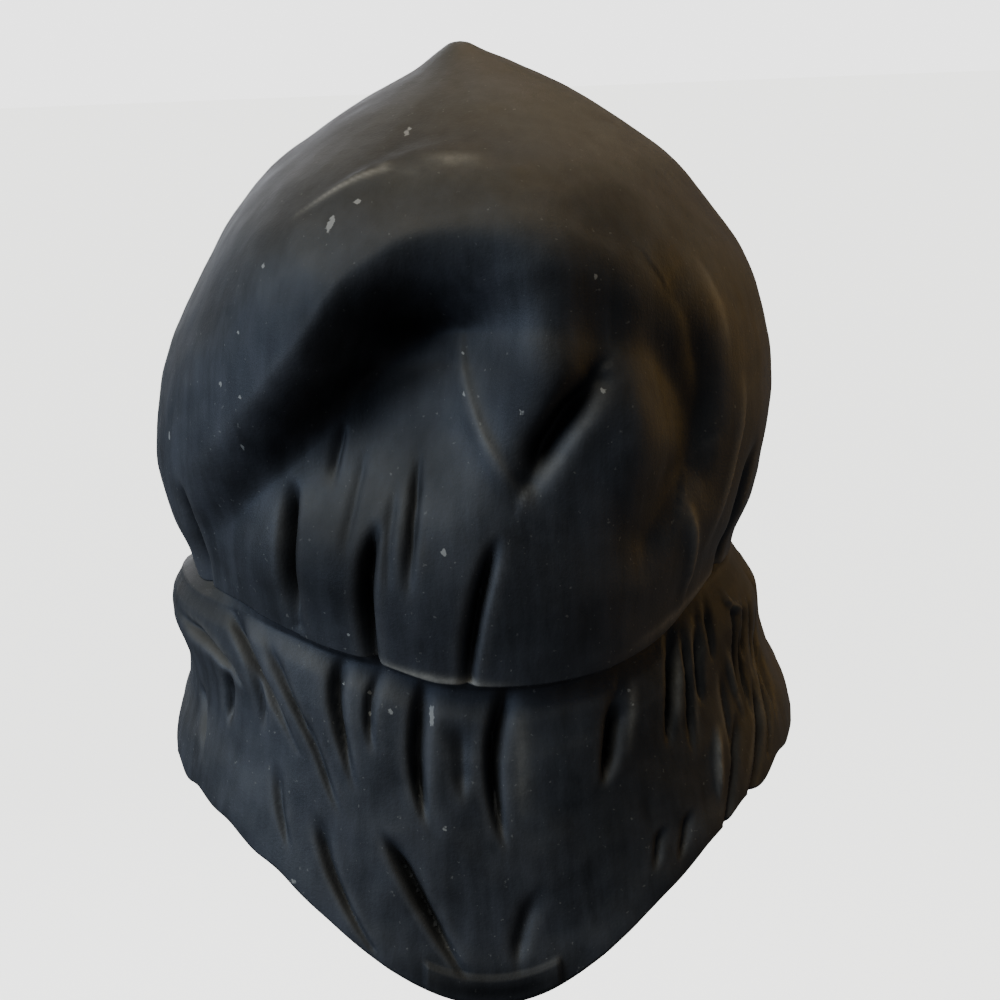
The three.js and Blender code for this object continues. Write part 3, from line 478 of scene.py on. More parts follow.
@dataclass
class HoodForm:
    """Form of the hood's skin, from the peak to the hem."""

    width: float = 280 * MM
    back: float = 142 * MM
    front: float = 145 * MM
    peak_rise: float = 56 * MM
    hem_drop: float = 176 * MM
    hem_side: float = 166 * MM
    hem_back: float = 190 * MM
    hem_front: float = 222 * MM
    hem_start: float = 90 * MM
    hem_sag_power: float = 1.5
    hollow_depth: float = 36 * MM
    lip_softness: float = 19 * MM
    fold_depth: float = 10 * MM
    squareness: float = 2.15
    curve_steps: int = 10
    fold_span: float = 60.0
    fold_taper: float = 2.8
    fold_power: float = 1.6
    hollow_power: float = 3.0
    table: np.ndarray = field(init=False)

    def __post_init__(self) -> None:
        """Turns the sections into one table of lengths."""
        self.table = length_table(HOOD_SECTIONS, self.width, self.back, self.front)
        self.table[:, 0] *= np.where(self.table[:, 0] > 0, self.peak_rise, self.hem_drop)

    @property
    def arc(self) -> float:
        """Length of one degree round the mean plan section."""
        return math.pi * (self.width / 2 + self.back) / 360.0

    def hem_row(self, turn: np.ndarray) -> np.ndarray:
        """Row of the hem's table at turns."""
        shares = np.array(HEM_SHARES)
        return catmull(shares, np.interp(turn_between(turn, 0.0), shares[:, 0], np.arange(len(shares))))

    def hem_height(self, turn: np.ndarray) -> np.ndarray:
        """Height of the hood's hem at turns."""
        lowest = np.where(np.abs(turn_between(turn, 0.0)) < 90, self.hem_back, self.hem_front)
        return -(self.hem_side + (lowest - self.hem_side) * self.hem_row(turn)[..., 1])

    def plan(self, turn: np.ndarray, row: np.ndarray) -> tuple[np.ndarray, np.ndarray]:
        """Plan point of a rounded section.

        Args:
            turn: Degrees from the middle of the back.
            row: Table rows whose last four columns are the half lengths.

        Returns:
            Its x and y.
        """
        s, c = np.sin(turn * DEGREE), np.cos(turn * DEGREE)
        across = np.maximum(np.where(s < 0, row[..., 1], row[..., 2]), 1e-7)
        along = np.maximum(np.where(c > 0, row[..., 3], row[..., 4]), 1e-7)
        total = (np.abs(s) / across) ** self.squareness + (np.abs(c) / along) ** self.squareness
        radius = total ** (-1.0 / self.squareness)
        return radius * s, -radius * c

    def base(self, turn: np.ndarray, station: np.ndarray) -> np.ndarray:
        """Undented skin.

        Args:
            turn: Degrees from the middle of the back.
            station: Fractional sections.

        Returns:
            Points, with x, y and z last.
        """
        row = catmull(self.table, station)
        level = row[..., 0]
        lowness = np.clip((-level - self.hem_start) / (self.hem_drop - self.hem_start), 0, 1)
        z = level + (self.hem_height(turn) + self.hem_drop) * lowness ** self.hem_sag_power
        x, y = self.plan(turn, row)
        return np.stack([x, y, z], -1)

    def fold_depth_at(
        self, fold: Fold, turn: np.ndarray, height: np.ndarray, unit: float | np.ndarray, pinch: float = 0.0
    ) -> np.ndarray:
        """Depth of one fold, measured round and up the skin from its curve.

        Args:
            fold: The fold.
            turn: Degrees from the middle of the back.
            height: Height of the skin, in the same measure as unit.
            unit: Length that the fold's heights are shares of.
            pinch: How much narrower the fold is at its last point, as a share.

        Returns:
            Depth below the undented skin.
        """
        middle = turn_between(np.full_like(turn, fold.b[0]) - turn, 0.0)
        near_by = np.abs(middle) < self.fold_span
        depth = np.zeros_like(turn)
        if not near_by.any():
            return depth
        mid, high = middle[near_by], height[near_by]
        scale = unit[near_by] if isinstance(unit, np.ndarray) else unit
        (ax, ay), (bx, by), (cx, cy) = (
            ((mid + p[0] - fold.b[0]) * self.arc, p[1] * scale - high) for p in (fold.a, fold.b, fold.c)
        )
        kx, ky = 2 * bx - (ax + cx) / 2, 2 * by - (ay + cy) / 2
        best = np.full_like(mid, np.inf)
        side, along = np.zeros_like(mid), np.zeros_like(mid)
        last_x, last_y = ax, ay
        for k in range(1, self.curve_steps + 1):
            t = k / self.curve_steps
            x = (1 - t) ** 2 * ax + 2 * t * (1 - t) * kx + t * t * cx
            y = (1 - t) ** 2 * ay + 2 * t * (1 - t) * ky + t * t * cy
            dx, dy = x - last_x, y - last_y
            f = np.clip(-(last_x * dx + last_y * dy) / (dx * dx + dy * dy), 0, 1)
            px, py = last_x + f * dx, last_y + f * dy
            distance = np.hypot(px, py)
            nearer = distance < best
            best = np.where(nearer, distance, best)
            side = np.where(nearer, px * dy - py * dx, side)
            along = np.where(nearer, (k - 1 + f) / self.curve_steps, along)
            last_x, last_y = x, y
        width = np.where(side < 0, fold.far, fold.near) * self.width / 2 * (1 - pinch * along)
        ends = np.minimum(
            fold.start + (1 - fold.start) * smooth(along * self.fold_taper),
            fold.end + (1 - fold.end) * smooth((1 - along) * self.fold_taper),
        )
        depth[near_by] = fold.deep * self.fold_depth * ends * np.exp(-((best / width) ** self.fold_power))
        return depth

    def relief(self, turn: np.ndarray, height: np.ndarray) -> np.ndarray:
        """How far the skin stands out of its undented section.

        Args:
            turn: Degrees from the middle of the back.
            height: Height of the skin.

        Returns:
            The rise, negative where the skin is sunk.
        """
        rise = np.zeros_like(turn)
        lips = np.array([(p.turn, p.height, p.deep, p.reach) for p in LIPS])
        wrapped = turn_between(turn, 0.0)
        station = np.interp(wrapped, lips[:, 0], np.arange(len(lips)))
        row = catmull(lips, station)
        inside = (wrapped > lips[0, 0]) & (wrapped < lips[-1, 0])
        below = row[..., 1] * self.hem_drop - height
        fade = np.exp(-((np.maximum(0, below) / (row[..., 3] * self.hem_drop)) ** self.hollow_power))
        step = smooth(below / (2 * self.lip_softness) + 0.5)
        rise -= np.where(inside, np.maximum(0, row[..., 2]) * self.hollow_depth * step * fade, 0.0)
        for swell in HOOD_SWELLS:
            across = turn_between(turn, swell.turn) * self.arc / (swell.wide * self.width / 2)
            up = (height / self.hem_drop - swell.height) / swell.tall
            rise += swell.rise * self.fold_depth * np.exp(-(across ** 2 + up ** 2))
        for fold in HOOD_FOLDS:
            rise -= self.fold_depth_at(fold, turn, height, self.hem_drop)
        return rise

    def marks(
        self,
        folds: Sequence[Fold],
        turn: np.ndarray,
        height: np.ndarray,
        unit: float | np.ndarray,
        pinch: float = 0.0,
    ) -> np.ndarray:
        """Strength of the deepest of several folds or lines at places on a skin.

        Args:
            folds: The folds or lines.
            turn: Degrees from the middle of the back.
            height: Height of the skin, in the same measure as unit.
            unit: Length that the folds' heights are shares of.
            pinch: How much narrower each is at its last point, as a share.

        Returns:
            The strength, as a share of the fold depth.
        """
        total = np.zeros_like(turn)
        for fold in folds:
            depth = self.fold_depth_at(fold, turn, height, unit, pinch)
            total = np.maximum(total, depth / self.fold_depth)
        return total

    def scuffs(self, turn: np.ndarray, height: np.ndarray) -> np.ndarray:
        """Nearness to the skin's scuffs.

        Args:
            turn: Degrees from the middle of the back.
            height: Height of the skin.

        Returns:
            One at the middle of a scuff, a half at its edge and zero away from it.
        """
        near = np.zeros_like(turn)
        for scuff in SCUFFS:
            across = turn_between(turn, scuff.turn) * self.arc / (scuff.wide * MM)
            up = (height - scuff.height * MM) / (scuff.tall * MM)
            near = np.maximum(near, 1 - np.hypot(across, up) / 2)
        return near

    def wear_and_painted_shade(self, turn: np.ndarray, station: np.ndarray) -> dict[str, np.ndarray]:
        """Wear and painted shade of the hood.

        Args:
            turn: Degrees from the middle of the back.
            station: Fractional sections.

        Returns:
            Strength of its rubbed lines and scuffs, and of the painted shade in its creases and hollows.
        """
        height = self.base(turn, station)[..., 2]
        return {
            "crease": self.marks(HOOD_FOLDS, turn, height, self.hem_drop),
            "shade": self.marks(HOOD_PAINTED_SHADES, turn, height, self.hem_drop),
            "worn": self.marks(HOOD_LINES, turn, height, self.hem_drop),
            "scuff": self.scuffs(turn, height),
        }

    def skin(self, turn: np.ndarray, station: np.ndarray, inset: float | np.ndarray) -> np.ndarray:
        """Skin with its folds.

        Args:
            turn: Degrees from the middle of the back.
            station: Fractional sections.
            inset: How far inward it is moved.

        Returns:
            Points, with x, y and z last.
        """
        point = self.base(turn, station)
        rise = np.where(station > 0, self.relief(turn, point[..., 2]), 0.0)
        return point + outward(self.base, turn, station, 0.05) * (rise - inset)[..., None]


def outward(
    base: Callable[[np.ndarray, np.ndarray], np.ndarray], turn: np.ndarray, place: np.ndarray, step: float
) -> np.ndarray:
    """Outward directions of a skin from its own slopes.

    Args:
        base: The undented skin.
        turn: Degrees from the middle of the back.
        place: Place down the skin, in the skin's own measure.
        step: Small step in that measure.

    Returns:
        Unit vectors.
    """
    around = base(turn + 0.5, place) - base(turn - 0.5, place)
    down = base(turn, place + step) - base(turn, np.maximum(0, place - step))
    normal = -np.cross(around, down)
    length = np.linalg.norm(normal, axis=-1, keepdims=True)
    up = np.broadcast_to(np.array([0.0, 0.0, 1.0]), normal.shape)
    return np.where(length > TINY, normal / np.maximum(length, TINY), up)


@dataclass
class CollarForm:
    """Form of the collar's skin, from inside the hood's hem to the lower edge."""

    hood: HoodForm
    width: float = 290 * MM
    back: float = 150 * MM
    front: float = 142 * MM
    edge_side: float = 250 * MM
    edge_back: float = 322 * MM
    edge_front: float = 318 * MM
    edge_power: float = 5.8
    edge_ripple: float = 1.1 * MM
    ripple_counts: tuple[int, int] = (19, 31)
    ripple_from: float = 25.0
    ripple_fade: float = 20.0
    strip_width: float = 52 * MM
    strip_height: float = 10 * MM
    strip_rise: float = 1.6 * MM
    strip_margin: float = 1.0 * MM
    strip_bevel: float = 1.0 * MM
    gather_length: float = 0.12
    pinch: float = 0.6

    def edge_height(self, turn: np.ndarray) -> np.ndarray:
        """Height of the collar's lower edge, which ripples at the sides.

        Args:
            turn: Degrees from the middle of the back.

        Returns:
            The height.
        """
        c = np.cos(turn * DEGREE)
        lowest = np.where(c > 0, self.edge_back, self.edge_front)
        waves = sum(np.sin(count * turn * DEGREE + k) for k, count in enumerate(self.ripple_counts))
        beside = smooth((np.abs(turn_between(turn, 0.0)) - self.ripple_from) / self.ripple_fade)
        depth = self.edge_side + (lowest - self.edge_side) * np.abs(c) ** self.edge_power
        return self.edge_ripple * waves * beside - depth

    def base(self, turn: np.ndarray, down: np.ndarray) -> np.ndarray:
        """Undented skin.

        Args:
            turn: Degrees from the middle of the back.
            down: Shares of the way from the hem to the lower edge.

        Returns:
            Points, with x, y and z last.
        """
        table = length_table(COLLAR_SECTIONS, self.width, self.back, self.front)
        row = catmull(table, np.interp(down, table[:, 0], np.arange(len(table))))
        hem = self.hood.hem_height(turn)
        z = hem + (self.edge_height(turn) - hem) * down
        x, y = self.hood.plan(turn, row)
        return np.stack([x, y, z], -1)

    def strip(self, turn: np.ndarray, down: np.ndarray, length: np.ndarray) -> np.ndarray:
        """Rise of the bare strip above the lower edge at the back.

        Args:
            turn: Degrees from the middle of the back.
            down: Shares of the way from the hem to the lower edge.
            length: Length of that way.

        Returns:
            The rise.
        """
        from_edge = (1 - down) * length - self.strip_margin
        across = self.strip_width / 2 - np.abs(turn) * self.hood.arc
        inside = np.minimum(np.minimum(from_edge, self.strip_height - from_edge), across)
        return self.strip_rise * smooth(inside / self.strip_bevel + 0.5)

    def wear_and_painted_shade(self, turn: np.ndarray, down: np.ndarray) -> dict[str, np.ndarray]:
        """Wear and painted shade of the collar.

        Args:
            turn: Degrees from the middle of the back.
            down: Shares of the way from the hem to the lower edge.

        Returns:
            Strength of its rubbed lines and scuffs, and of the painted shade in its creases and hollows.
        """
        hem = self.hood.hem_height(turn)
        length = hem - self.edge_height(turn)
        gathered = smooth(down / self.gather_length)
        return {
            "crease": self.hood.marks(COLLAR_FOLDS, turn, down * length, length, self.pinch) * gathered,
            "shade": self.hood.marks(COLLAR_PAINTED_SHADES, turn, down * length, length),
            "worn": self.hood.marks(COLLAR_LINES, turn, down * length, length) * gathered,
            "scuff": self.hood.scuffs(turn, hem - down * length),
        }

    def skin(self, turn: np.ndarray, down: np.ndarray, inset: float | np.ndarray) -> np.ndarray:
        """Skin with its folds and the bare strip.

        Args:
            turn: Degrees from the middle of the back.
            down: Shares of the way from the hem to the lower edge.
            inset: How far inward it is moved.

        Returns:
            Points, with x, y and z last.
        """
        length = self.hood.hem_height(turn) - self.edge_height(turn)
        rise = np.zeros_like(turn)
        for fold in COLLAR_FOLDS:
            rise -= self.hood.fold_depth_at(fold, turn, down * length, length, self.pinch)
        rise = rise * smooth(down / self.gather_length) + self.strip(turn_between(turn, 0.0), down, length)
        return self.base(turn, down) + outward(self.base, turn, down, 0.02) * (rise - inset)[..., None]


# Meshes

WELD = 0.001 * MM


def grid_faces(rows: int, columns: int, start: int, outward_facing: bool) -> list[tuple[int, ...]]:
    """Faces of a grid that closes round its columns.

    Args:
        rows: Number of rings.
        columns: Vertices in a ring.
        start: Index of the first vertex.
        outward_facing: Whether faces look out, with rings listed from the top down.

    Returns:
        Quads.
    """
    faces = []
    for r in range(rows - 1):
        for k in range(columns):
            a, b = start + r * columns + k, start + r * columns + (k + 1) % columns
            quad = (a, a + columns, b + columns, b)
            faces.append(quad if outward_facing else quad[::-1])
    return faces


def bridge_faces(fine: Sequence[int], coarse: Sequence[int], flip: bool) -> list[tuple[int, ...]]:
    """Faces between a ring and one with half as many vertices.

    Args:
        fine: Indices of the ring with twice the vertices.
        coarse: Indices of the other ring.
        flip: Whether to turn the faces over.

    Returns:
        A triangle and a quad for each vertex of the coarse ring.
    """
    faces = []
    for k, here in enumerate(coarse):
        after = coarse[(k + 1) % len(coarse)]
        a, b, c = fine[2 * k], fine[2 * k + 1], fine[(2 * k + 2) % len(fine)]
        pair = [(a, here, b), (b, here, after, c)]
        faces += [f[::-1] for f in pair] if flip else pair
    return faces


def new_mesh(name: str, points: np.ndarray, faces: Sequence[Sequence[int]]) -> bpy.types.Object:
    """Makes a smooth-shaded mesh object.

    Args:
        name: The piece's name.
        points: Vertices in metres.
        faces: Vertex indices of each face.

    Returns:
        The object, linked to the scene.
    """
    mesh = bpy.data.meshes.new(name)
    mesh.from_pydata([tuple(p) for p in points.tolist()], [], [tuple(f) for f in faces])
    mesh.validate()
    mesh.shade_smooth()
    piece = bpy.data.objects.new(name, mesh)
    bpy.context.scene.collection.objects.link(piece)
    return piece


def put_attribute(piece: bpy.types.Object, name: str, values: np.ndarray) -> None:
    """Stores one number for each vertex, under a name that the finishes read."""
    attribute = piece.data.attributes.new(name, "FLOAT", "POINT")
    attribute.data.foreach_set("value", np.ascontiguousarray(values, dtype=np.float32))


def merge(piece: bpy.types.Object, distance: float) -> None:
    """Merges vertices that are close together and drops faces that collapse.

    Args:
        piece: The mesh object.
        distance: How close they are, in metres.
    """
    work = bmesh.new()
    work.from_mesh(piece.data)
    bmesh.ops.remove_doubles(work, verts=work.verts, dist=distance)
    bmesh.ops.dissolve_degenerate(work, edges=work.edges, dist=distance / 4)
    bmesh.ops.recalc_face_normals(work, faces=work.faces)
    work.to_mesh(piece.data)
    work.free()


def closed_tube(name: str, rings: Sequence[np.ndarray]) -> bpy.types.Object:
    """Makes a closed tool from rings of points, with flat ends.

    Args:
        name: The tool's name.
        rings: Points of each ring.

    Returns:
        The tool.
    """
    count = len(rings[0])
    faces = grid_faces(len(rings), count, 0, True)
    faces.append(tuple(range(count))[::-1])
    faces.append(tuple(range((len(rings) - 1) * count, len(rings) * count)))
    tool = new_mesh(name, np.concatenate(rings), faces)
    merge(tool, WELD)
    return tool


def cut(piece: bpy.types.Object, tool: bpy.types.Object) -> None:
    """Cuts a closed tool out of a piece and deletes the tool.

    Args:
        piece: The piece.
        tool: The tool.
    """
    modifier = piece.modifiers.new("cut", "BOOLEAN")
    modifier.object = tool
    modifier.operation = "DIFFERENCE"
    modifier.solver = "EXACT"
    bpy.context.view_layer.update()
    graph = bpy.context.evaluated_depsgraph_get()
    uncut = piece.data
    result = bpy.data.meshes.new_from_object(piece.evaluated_get(graph))
    piece.modifiers.clear()
    piece.data = result
    bpy.data.meshes.remove(uncut)
    bpy.data.objects.remove(tool)
    piece.data.shade_smooth()


def dress(piece: bpy.types.Object, finish: bpy.types.Material, node: str, slot: Slot) -> None:
    """Gives a piece its finish and its place in the frame.

    Args:
        piece: The piece.
        finish: Its material.
        node: The node that it replaces.
        slot: Its slot in the record; not used.
    """
    piece.data.materials.clear()
    piece.data.materials.append(finish)
    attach(piece, "root")
    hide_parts(node)


def slow_waves(points: np.ndarray, size: float, seed: float) -> np.ndarray:
    """Smooth noise at points.

    Args:
        points: Points, with x, y and z last.
        size: Size of its lumps.
        seed: Where in the noise the lumps are taken from.

    Returns:
        Values from -1 to 1.
    """
    offset = Vector((seed, 1.7 * seed, 2.3 * seed))
    flat = points.reshape(-1, 3) / size
    values = [noise.noise(Vector(p) + offset) for p in flat.tolist()]
    return np.array(values).reshape(points.shape[:-1])


@dataclass
class LatexSkin:
    """Two-sided latex wall drawn finely outside and at half that fineness inside."""

    wall: float = 1.8 * MM
    back_columns: int = 304
    front_columns: int = 88
    back_span: float = 148.0
    lump_height: float = 0.55 * MM
    lump_size: float = 26 * MM
    small_lump_size: float = 26 * MM / 2.4
    small_lump_share: float = 0.5
    calm_rings: int = 6
    bend_reach: int = 4
    bend_height: float = 0.9 * MM
    weld: float = 0.02 * MM

    def turns(self) -> np.ndarray:
        """Turns of the outer columns in degrees, closer together across the back.

        Returns:
            The turns, in order round the skin.
        """
        back = self.back_span * (np.arange(self.back_columns) / self.back_columns - 0.5)
        rest = (360 - self.back_span) * np.arange(self.front_columns) / self.front_columns
        return np.concatenate([back, self.back_span / 2 + rest])

    def wall_mesh(
        self,
        name: str,
        surface: Callable[[np.ndarray, np.ndarray, float], np.ndarray],
        wear_and_painted_shade: Callable[[np.ndarray, np.ndarray], dict[str, np.ndarray]],
        places: np.ndarray,
        open_top: bool,
    ) -> bpy.types.Object:
        """Builds one wall of latex as a closed mesh.

        Args:
            name: The piece's name.
            surface: Skin at turns, places and an inset.
            wear_and_painted_shade: Strength of each kind of wear and of painted shade at turns and places.
            places: Places of the outer rings, from the top down.
            open_top: Whether the top is an edge, and not a closed peak.

        Returns:
            The piece, with its wear and painted shade stored on its vertices.
        """
        turns = self.turns()
        outer_turn, outer_place = np.meshgrid(turns, places)
        inner_turn, inner_place = np.meshgrid(turns[::2], places[::2])
        outer = surface(outer_turn, outer_place, 0.0)
        direction = (outer - surface(outer_turn, outer_place, self.wall)) / self.wall
        lumps = slow_waves(outer, self.lump_size, 3.1)
        lumps += self.small_lump_share * slow_waves(outer, self.small_lump_size, 8.3)
        fade = np.clip(np.arange(len(places)) / self.calm_rings, 0, 1)[:, None]
        outer = outer + direction * (self.lump_height * lumps * fade)[..., None]
        inner = surface(inner_turn, inner_place, self.wall)
        rows, columns = outer_turn.shape
        inner_rows, inner_columns = inner_turn.shape
        first_inner = rows * columns
        faces = grid_faces(rows, columns, 0, True)
        faces += grid_faces(inner_rows, inner_columns, first_inner, False)
        edge = range((rows - 1) * columns, rows * columns)
        last_inner = first_inner + (inner_rows - 1) * inner_columns
        faces += bridge_faces(edge, range(last_inner, last_inner + inner_columns), False)
        if open_top:
            faces += bridge_faces(range(columns), range(first_inner, first_inner + inner_columns), True)
        piece = new_mesh(name, np.concatenate([outer.reshape(-1, 3), inner.reshape(-1, 3)]), faces)
        inner_calm = np.zeros(inner_rows * inner_columns)
        for kind, strength in {"bend": self.bends(outer), **wear_and_painted_shade(outer_turn, outer_place)}.items():
            put_attribute(piece, kind, np.concatenate([strength.ravel(), inner_calm]))
        merge(piece, self.weld)
        return piece

    def bends(self, points: np.ndarray) -> np.ndarray:
        """How far each point of a grid stands out of its wider surroundings.

        Args:
            points: The grid, which closes round its columns.

        Returns:
            Values from -1, sunk, to 1, raised.
        """
        reach = self.bend_reach
        padded = np.concatenate([points[:, -reach:], points, points[:, :reach]], axis=1)
        sides = (padded[:, 2 * reach:] + padded[:, :-2 * reach]) / 2
        up = np.concatenate([points[:1].repeat(reach, 0), points[:-reach]])
        down = np.concatenate([points[reach:], points[-1:].repeat(reach, 0)])
        mean = (sides + (up + down) / 2) / 2
        around = np.roll(points, -1, 1) - np.roll(points, 1, 1)
        normal = -np.cross(around, np.gradient(points, axis=0))
        normal /= np.maximum(np.linalg.norm(normal, axis=-1, keepdims=True), TINY)
        return np.clip(((points - mean) * normal).sum(-1) / self.bend_height, -1, 1)


# Finishes

MATH, RANGE, MIX = "ShaderNodeMath", "ShaderNodeMapRange", "ShaderNodeMix"
PLUS, TIMES, TIMES_PLUS = ({"operation": name} for name in ("ADD", "MULTIPLY", "MULTIPLY_ADD"))


def add_node(
    tree: bpy.types.NodeTree,
    kind: str,
    output: str | int | None = None,
    settings: dict[str, Any] | None = None,
    inputs: dict[str | int, Any] | None = None,
) -> bpy.types.NodeSocket | None:
    """Adds a node with its settings and links.

    Args:
        tree: The node tree.
        kind: Blender's node type.
        output: Name or number of the output that is wanted.
        settings: Values of the node's own properties.
        inputs: What feeds each input, by name or number: a constant, or another node's output.

    Returns:
        The wanted output, or None where none is asked for.
    """
    node = tree.nodes.new(kind)
    for name, value in (settings or {}).items():
        setattr(node, name, value)
    for name, value in (inputs or {}).items():
        if isinstance(value, bpy.types.NodeSocket):
            tree.links.new(value, node.inputs[name])
        else:
            node.inputs[name].default_value = value
    return None if output is None else node.outputs[output]


def blank_material(name: str) -> tuple[bpy.types.Material, bpy.types.NodeTree]:
    """Makes a material with an empty node tree.

    Args:
        name: The material's name.

    Returns:
        The material and its tree.
    """
    material = bpy.data.materials.new(name)
    material.use_nodes = True
    material.node_tree.nodes.clear()
    return material, material.node_tree


@dataclass(frozen=True)
class Pattern:
    """Noise of a finish: the size of its lumps in millimetres, its detail and roughness, and its stretch."""

    size_mm: float
    detail: float
    rough: float
    stretch: float = 1.0


@dataclass(frozen=True)
class Reading:
    """A known value read between low and high, which becomes another between first and last."""

    name: str
    source: str
    low: float
    high: float
    first: float = 0.0
    last: float = 1.0


class FinishTree:
    """Node tree of a finish, with the outputs that it uses again kept by name."""

    def __init__(self, name: str, patterns: dict[str, Pattern], stored: Sequence[str]) -> None:
        """Starts the tree with its noise and with the values that the pieces store on their vertices.

        Args:
            name: The material's name.
            patterns: The noise patterns by name.
            stored: Names of the stored values.
        """
        self.material, self.tree = blank_material(name)
        self.known: dict[str, Any] = {}
        place = add_node(self.tree, "ShaderNodeTexCoord", "Object")
        for kind, pattern in patterns.items():
            stretch = {"Vector": place, "Scale": (1.0, 1.0, pattern.stretch)}
            self.known[kind] = add_node(self.tree, "ShaderNodeTexNoise", "Fac", inputs={
                "Vector": add_node(self.tree, "ShaderNodeMapping", "Vector", inputs=stretch),
                "Scale": 1.0 / (pattern.size_mm * MM), "Detail": pattern.detail, "Roughness": pattern.rough,
            })
        for kind in stored:
            self.known[kind] = add_node(self.tree, "ShaderNodeAttribute", "Fac", {"attribute_name": kind})

    def read(self, readings: Sequence[Reading]) -> None:
        """Adds the results of readings to what is known.

        Args:
            readings: The readings, each under its own name.
        """
        for r in readings:
            inputs = {"From Min": r.low, "From Max": r.high, "To Min": r.first, "To Max": r.last}
            inputs["Value"] = self.known[r.source]
            self.known[r.name] = add_node(self.tree, RANGE, "Result", inputs=inputs)

    def coat(self, ground: str, coats: Sequence[tuple[str, str]]) -> bpy.types.NodeSocket:
        """Lays coats over a ground, each by a known amount.

        Args:
            ground: The ground's sRGB hex colour.
            coats: Name of each coat's amount, and its sRGB hex colour.

        Returns:
            The final colour.
        """
        colour: Any = linear(ground)
        for amount, hex_colour in coats:
            inputs = {0: self.known[amount], 6: colour, 7: linear(hex_colour)}
            colour = add_node(self.tree, MIX, 2, {"data_type": "RGBA"}, inputs)
        return colour

    def close(self, relief: Any, relief_mm: float, inputs: dict[str | int, Any]) -> bpy.types.Material:
        """Adds the fine relief, the shader and the material's output.

        Args:
            relief: Height of the fine relief.
            relief_mm: Millimetres that a height of one stands for.
            inputs: What feeds the shader.

        Returns:
            The material.
        """
        bump = {"Strength": 0.3, "Distance": relief_mm * MM, "Height": relief}
        normal = add_node(self.tree, "ShaderNodeBump", "Normal", inputs=bump)
        shader = add_node(self.tree, "ShaderNodeBsdfPrincipled", "BSDF", inputs={"Normal": normal, **inputs})
        add_node(self.tree, "ShaderNodeOutputMaterial", inputs={"Surface": shader})
        return self.material


@dataclass(frozen=True)
class SlushCastBlackLatex:
    """Natural latex poured into a plaster mould and emptied, pigmented black, then powdered with talc.

    The plaster leaves a matte to satin skin with slow mottling and drawn-out streaks. What faces up takes a
    warm brown tint that is partly settled house dust and partly painted warm light from above, talc sits
    everywhere as fine specks, handled ridges go grey and scuffs show pale. Painted shade darkens the deep
    folds to near black and darkens listed patches of the hollows and sides, where it also takes away the
    sheen. The grain is drawn about four times its real size, so that it shows.
    """

    ior: float = 1.52
    relief_mm: float = 0.7
    mottle_tone: float = 0.6
    streak_tone: float = 0.45
    grain_relief: float = 0.55
    streak_relief: float = 0.8
    # Least strength of the warm tint on what faces up, which is partly dust and partly painted warm light
    # from above.
    least_dust_and_top_light: float = 0.45
    raggedness: float = 0.9
    ground: str = "111214"
    patterns: tuple[tuple[str, Pattern], ...] = (
        ("mottle", Pattern(34.0, 5.0, 0.62)),
        ("streak", Pattern(7.0, 4.0, 0.6, 0.10)),
        ("grain", Pattern(1.3, 3.0, 0.55)),
        ("fleck", Pattern(5.0, 6.0, 0.7)),
        ("speck", Pattern(2.2, 2.0, 0.5)),
    )
    readings: tuple[Reading, ...] = (
        Reading("pale", "tone", 0.43, 0.66),
        Reading("handled", "bend", 0.0, 1.0, 0.0, 0.35),
        # Partly settled dust and partly painted warm light from above: what faces up is tinted warm brown.
        Reading("dust_and_top_light", "upward", 0.15, 0.85, 0.0, 0.34),
        Reading("talc", "speck", 0.70, 0.76, 0.0, 0.55),
        Reading("rubbed", "worn", 0.0, 1.0, 0.0, 1.3),
        # Painted shade: the deepest folds are darkened to near black in the colour.
        Reading("deep", "crease", 0.22, 0.85, 0.0, 0.9),
        Reading("flaked", "ragged", 0.90, 1.0, 0.0, 0.75),
        # Painted shade also takes the sheen away where it lies.
        Reading("sheen", "shade", 0.0, 1.0, 0.32, 0.0),
        Reading("roughness", "mottle", 0.3, 0.7, 0.57, 0.76),
    )
    coats: tuple[tuple[str, str], ...] = (
        ("pale", "28292c"),
        ("handled", "4a4744"),
        ("dust_and_top_light", "4b4436"),
        ("talc", "77746c"),
        ("rubbed", "8f887a"),
        # Painted shade: these two coats darken the colour to near black in the listed shade patches and in
        # the deep folds.
        ("shade", "030303"),
        ("deep", "030303"),
        ("flaked", "74716a"),
    )

    def build(self) -> bpy.types.Material:
        """Builds the material.

        Returns:
            The black latex.
        """
        stored = ("bend", "crease", "shade", "worn", "scuff")
        finish = FinishTree("slush_cast_black_latex", dict(self.patterns), stored)
        tree, known = finish.tree, finish.known
        mottle, streak = known["mottle"], known["streak"]
        part = add_node(tree, MATH, 0, TIMES, {0: mottle, 1: self.mottle_tone})
        known["tone"] = add_node(tree, MATH, 0, TIMES_PLUS, {0: streak, 1: self.streak_tone, 2: part})
        edge = {0: known["speck"], 1: self.raggedness, 2: known["scuff"]}
        known["ragged"] = add_node(tree, MATH, 0, TIMES_PLUS, edge)
        normal = add_node(tree, "ShaderNodeNewGeometry", "Normal")
        known["upward"] = add_node(tree, "ShaderNodeSeparateXYZ", "Z", inputs={0: normal})
        finish.read(self.readings)
        patchy = add_node(tree, MATH, 0, PLUS, {0: known["tone"], 1: self.least_dust_and_top_light})
        fleck = known["fleck"]
        for name, factor in (("handled", fleck), ("dust_and_top_light", patchy), ("talc", mottle), ("rubbed", fleck)):
            known[name] = add_node(tree, MATH, 0, TIMES, {0: known[name], 1: factor})
        relief = add_node(tree, MATH, 0, TIMES_PLUS, {0: known["grain"], 1: self.grain_relief, 2: mottle})
        relief = add_node(tree, MATH, 0, TIMES_PLUS, {0: streak, 1: self.streak_relief, 2: relief})
        return finish.close(relief, self.relief_mm, {
            "Base Color": finish.coat(self.ground, self.coats), "Roughness": known["roughness"],
            "IOR": self.ior, "Specular IOR Level": known["sheen"],
        })


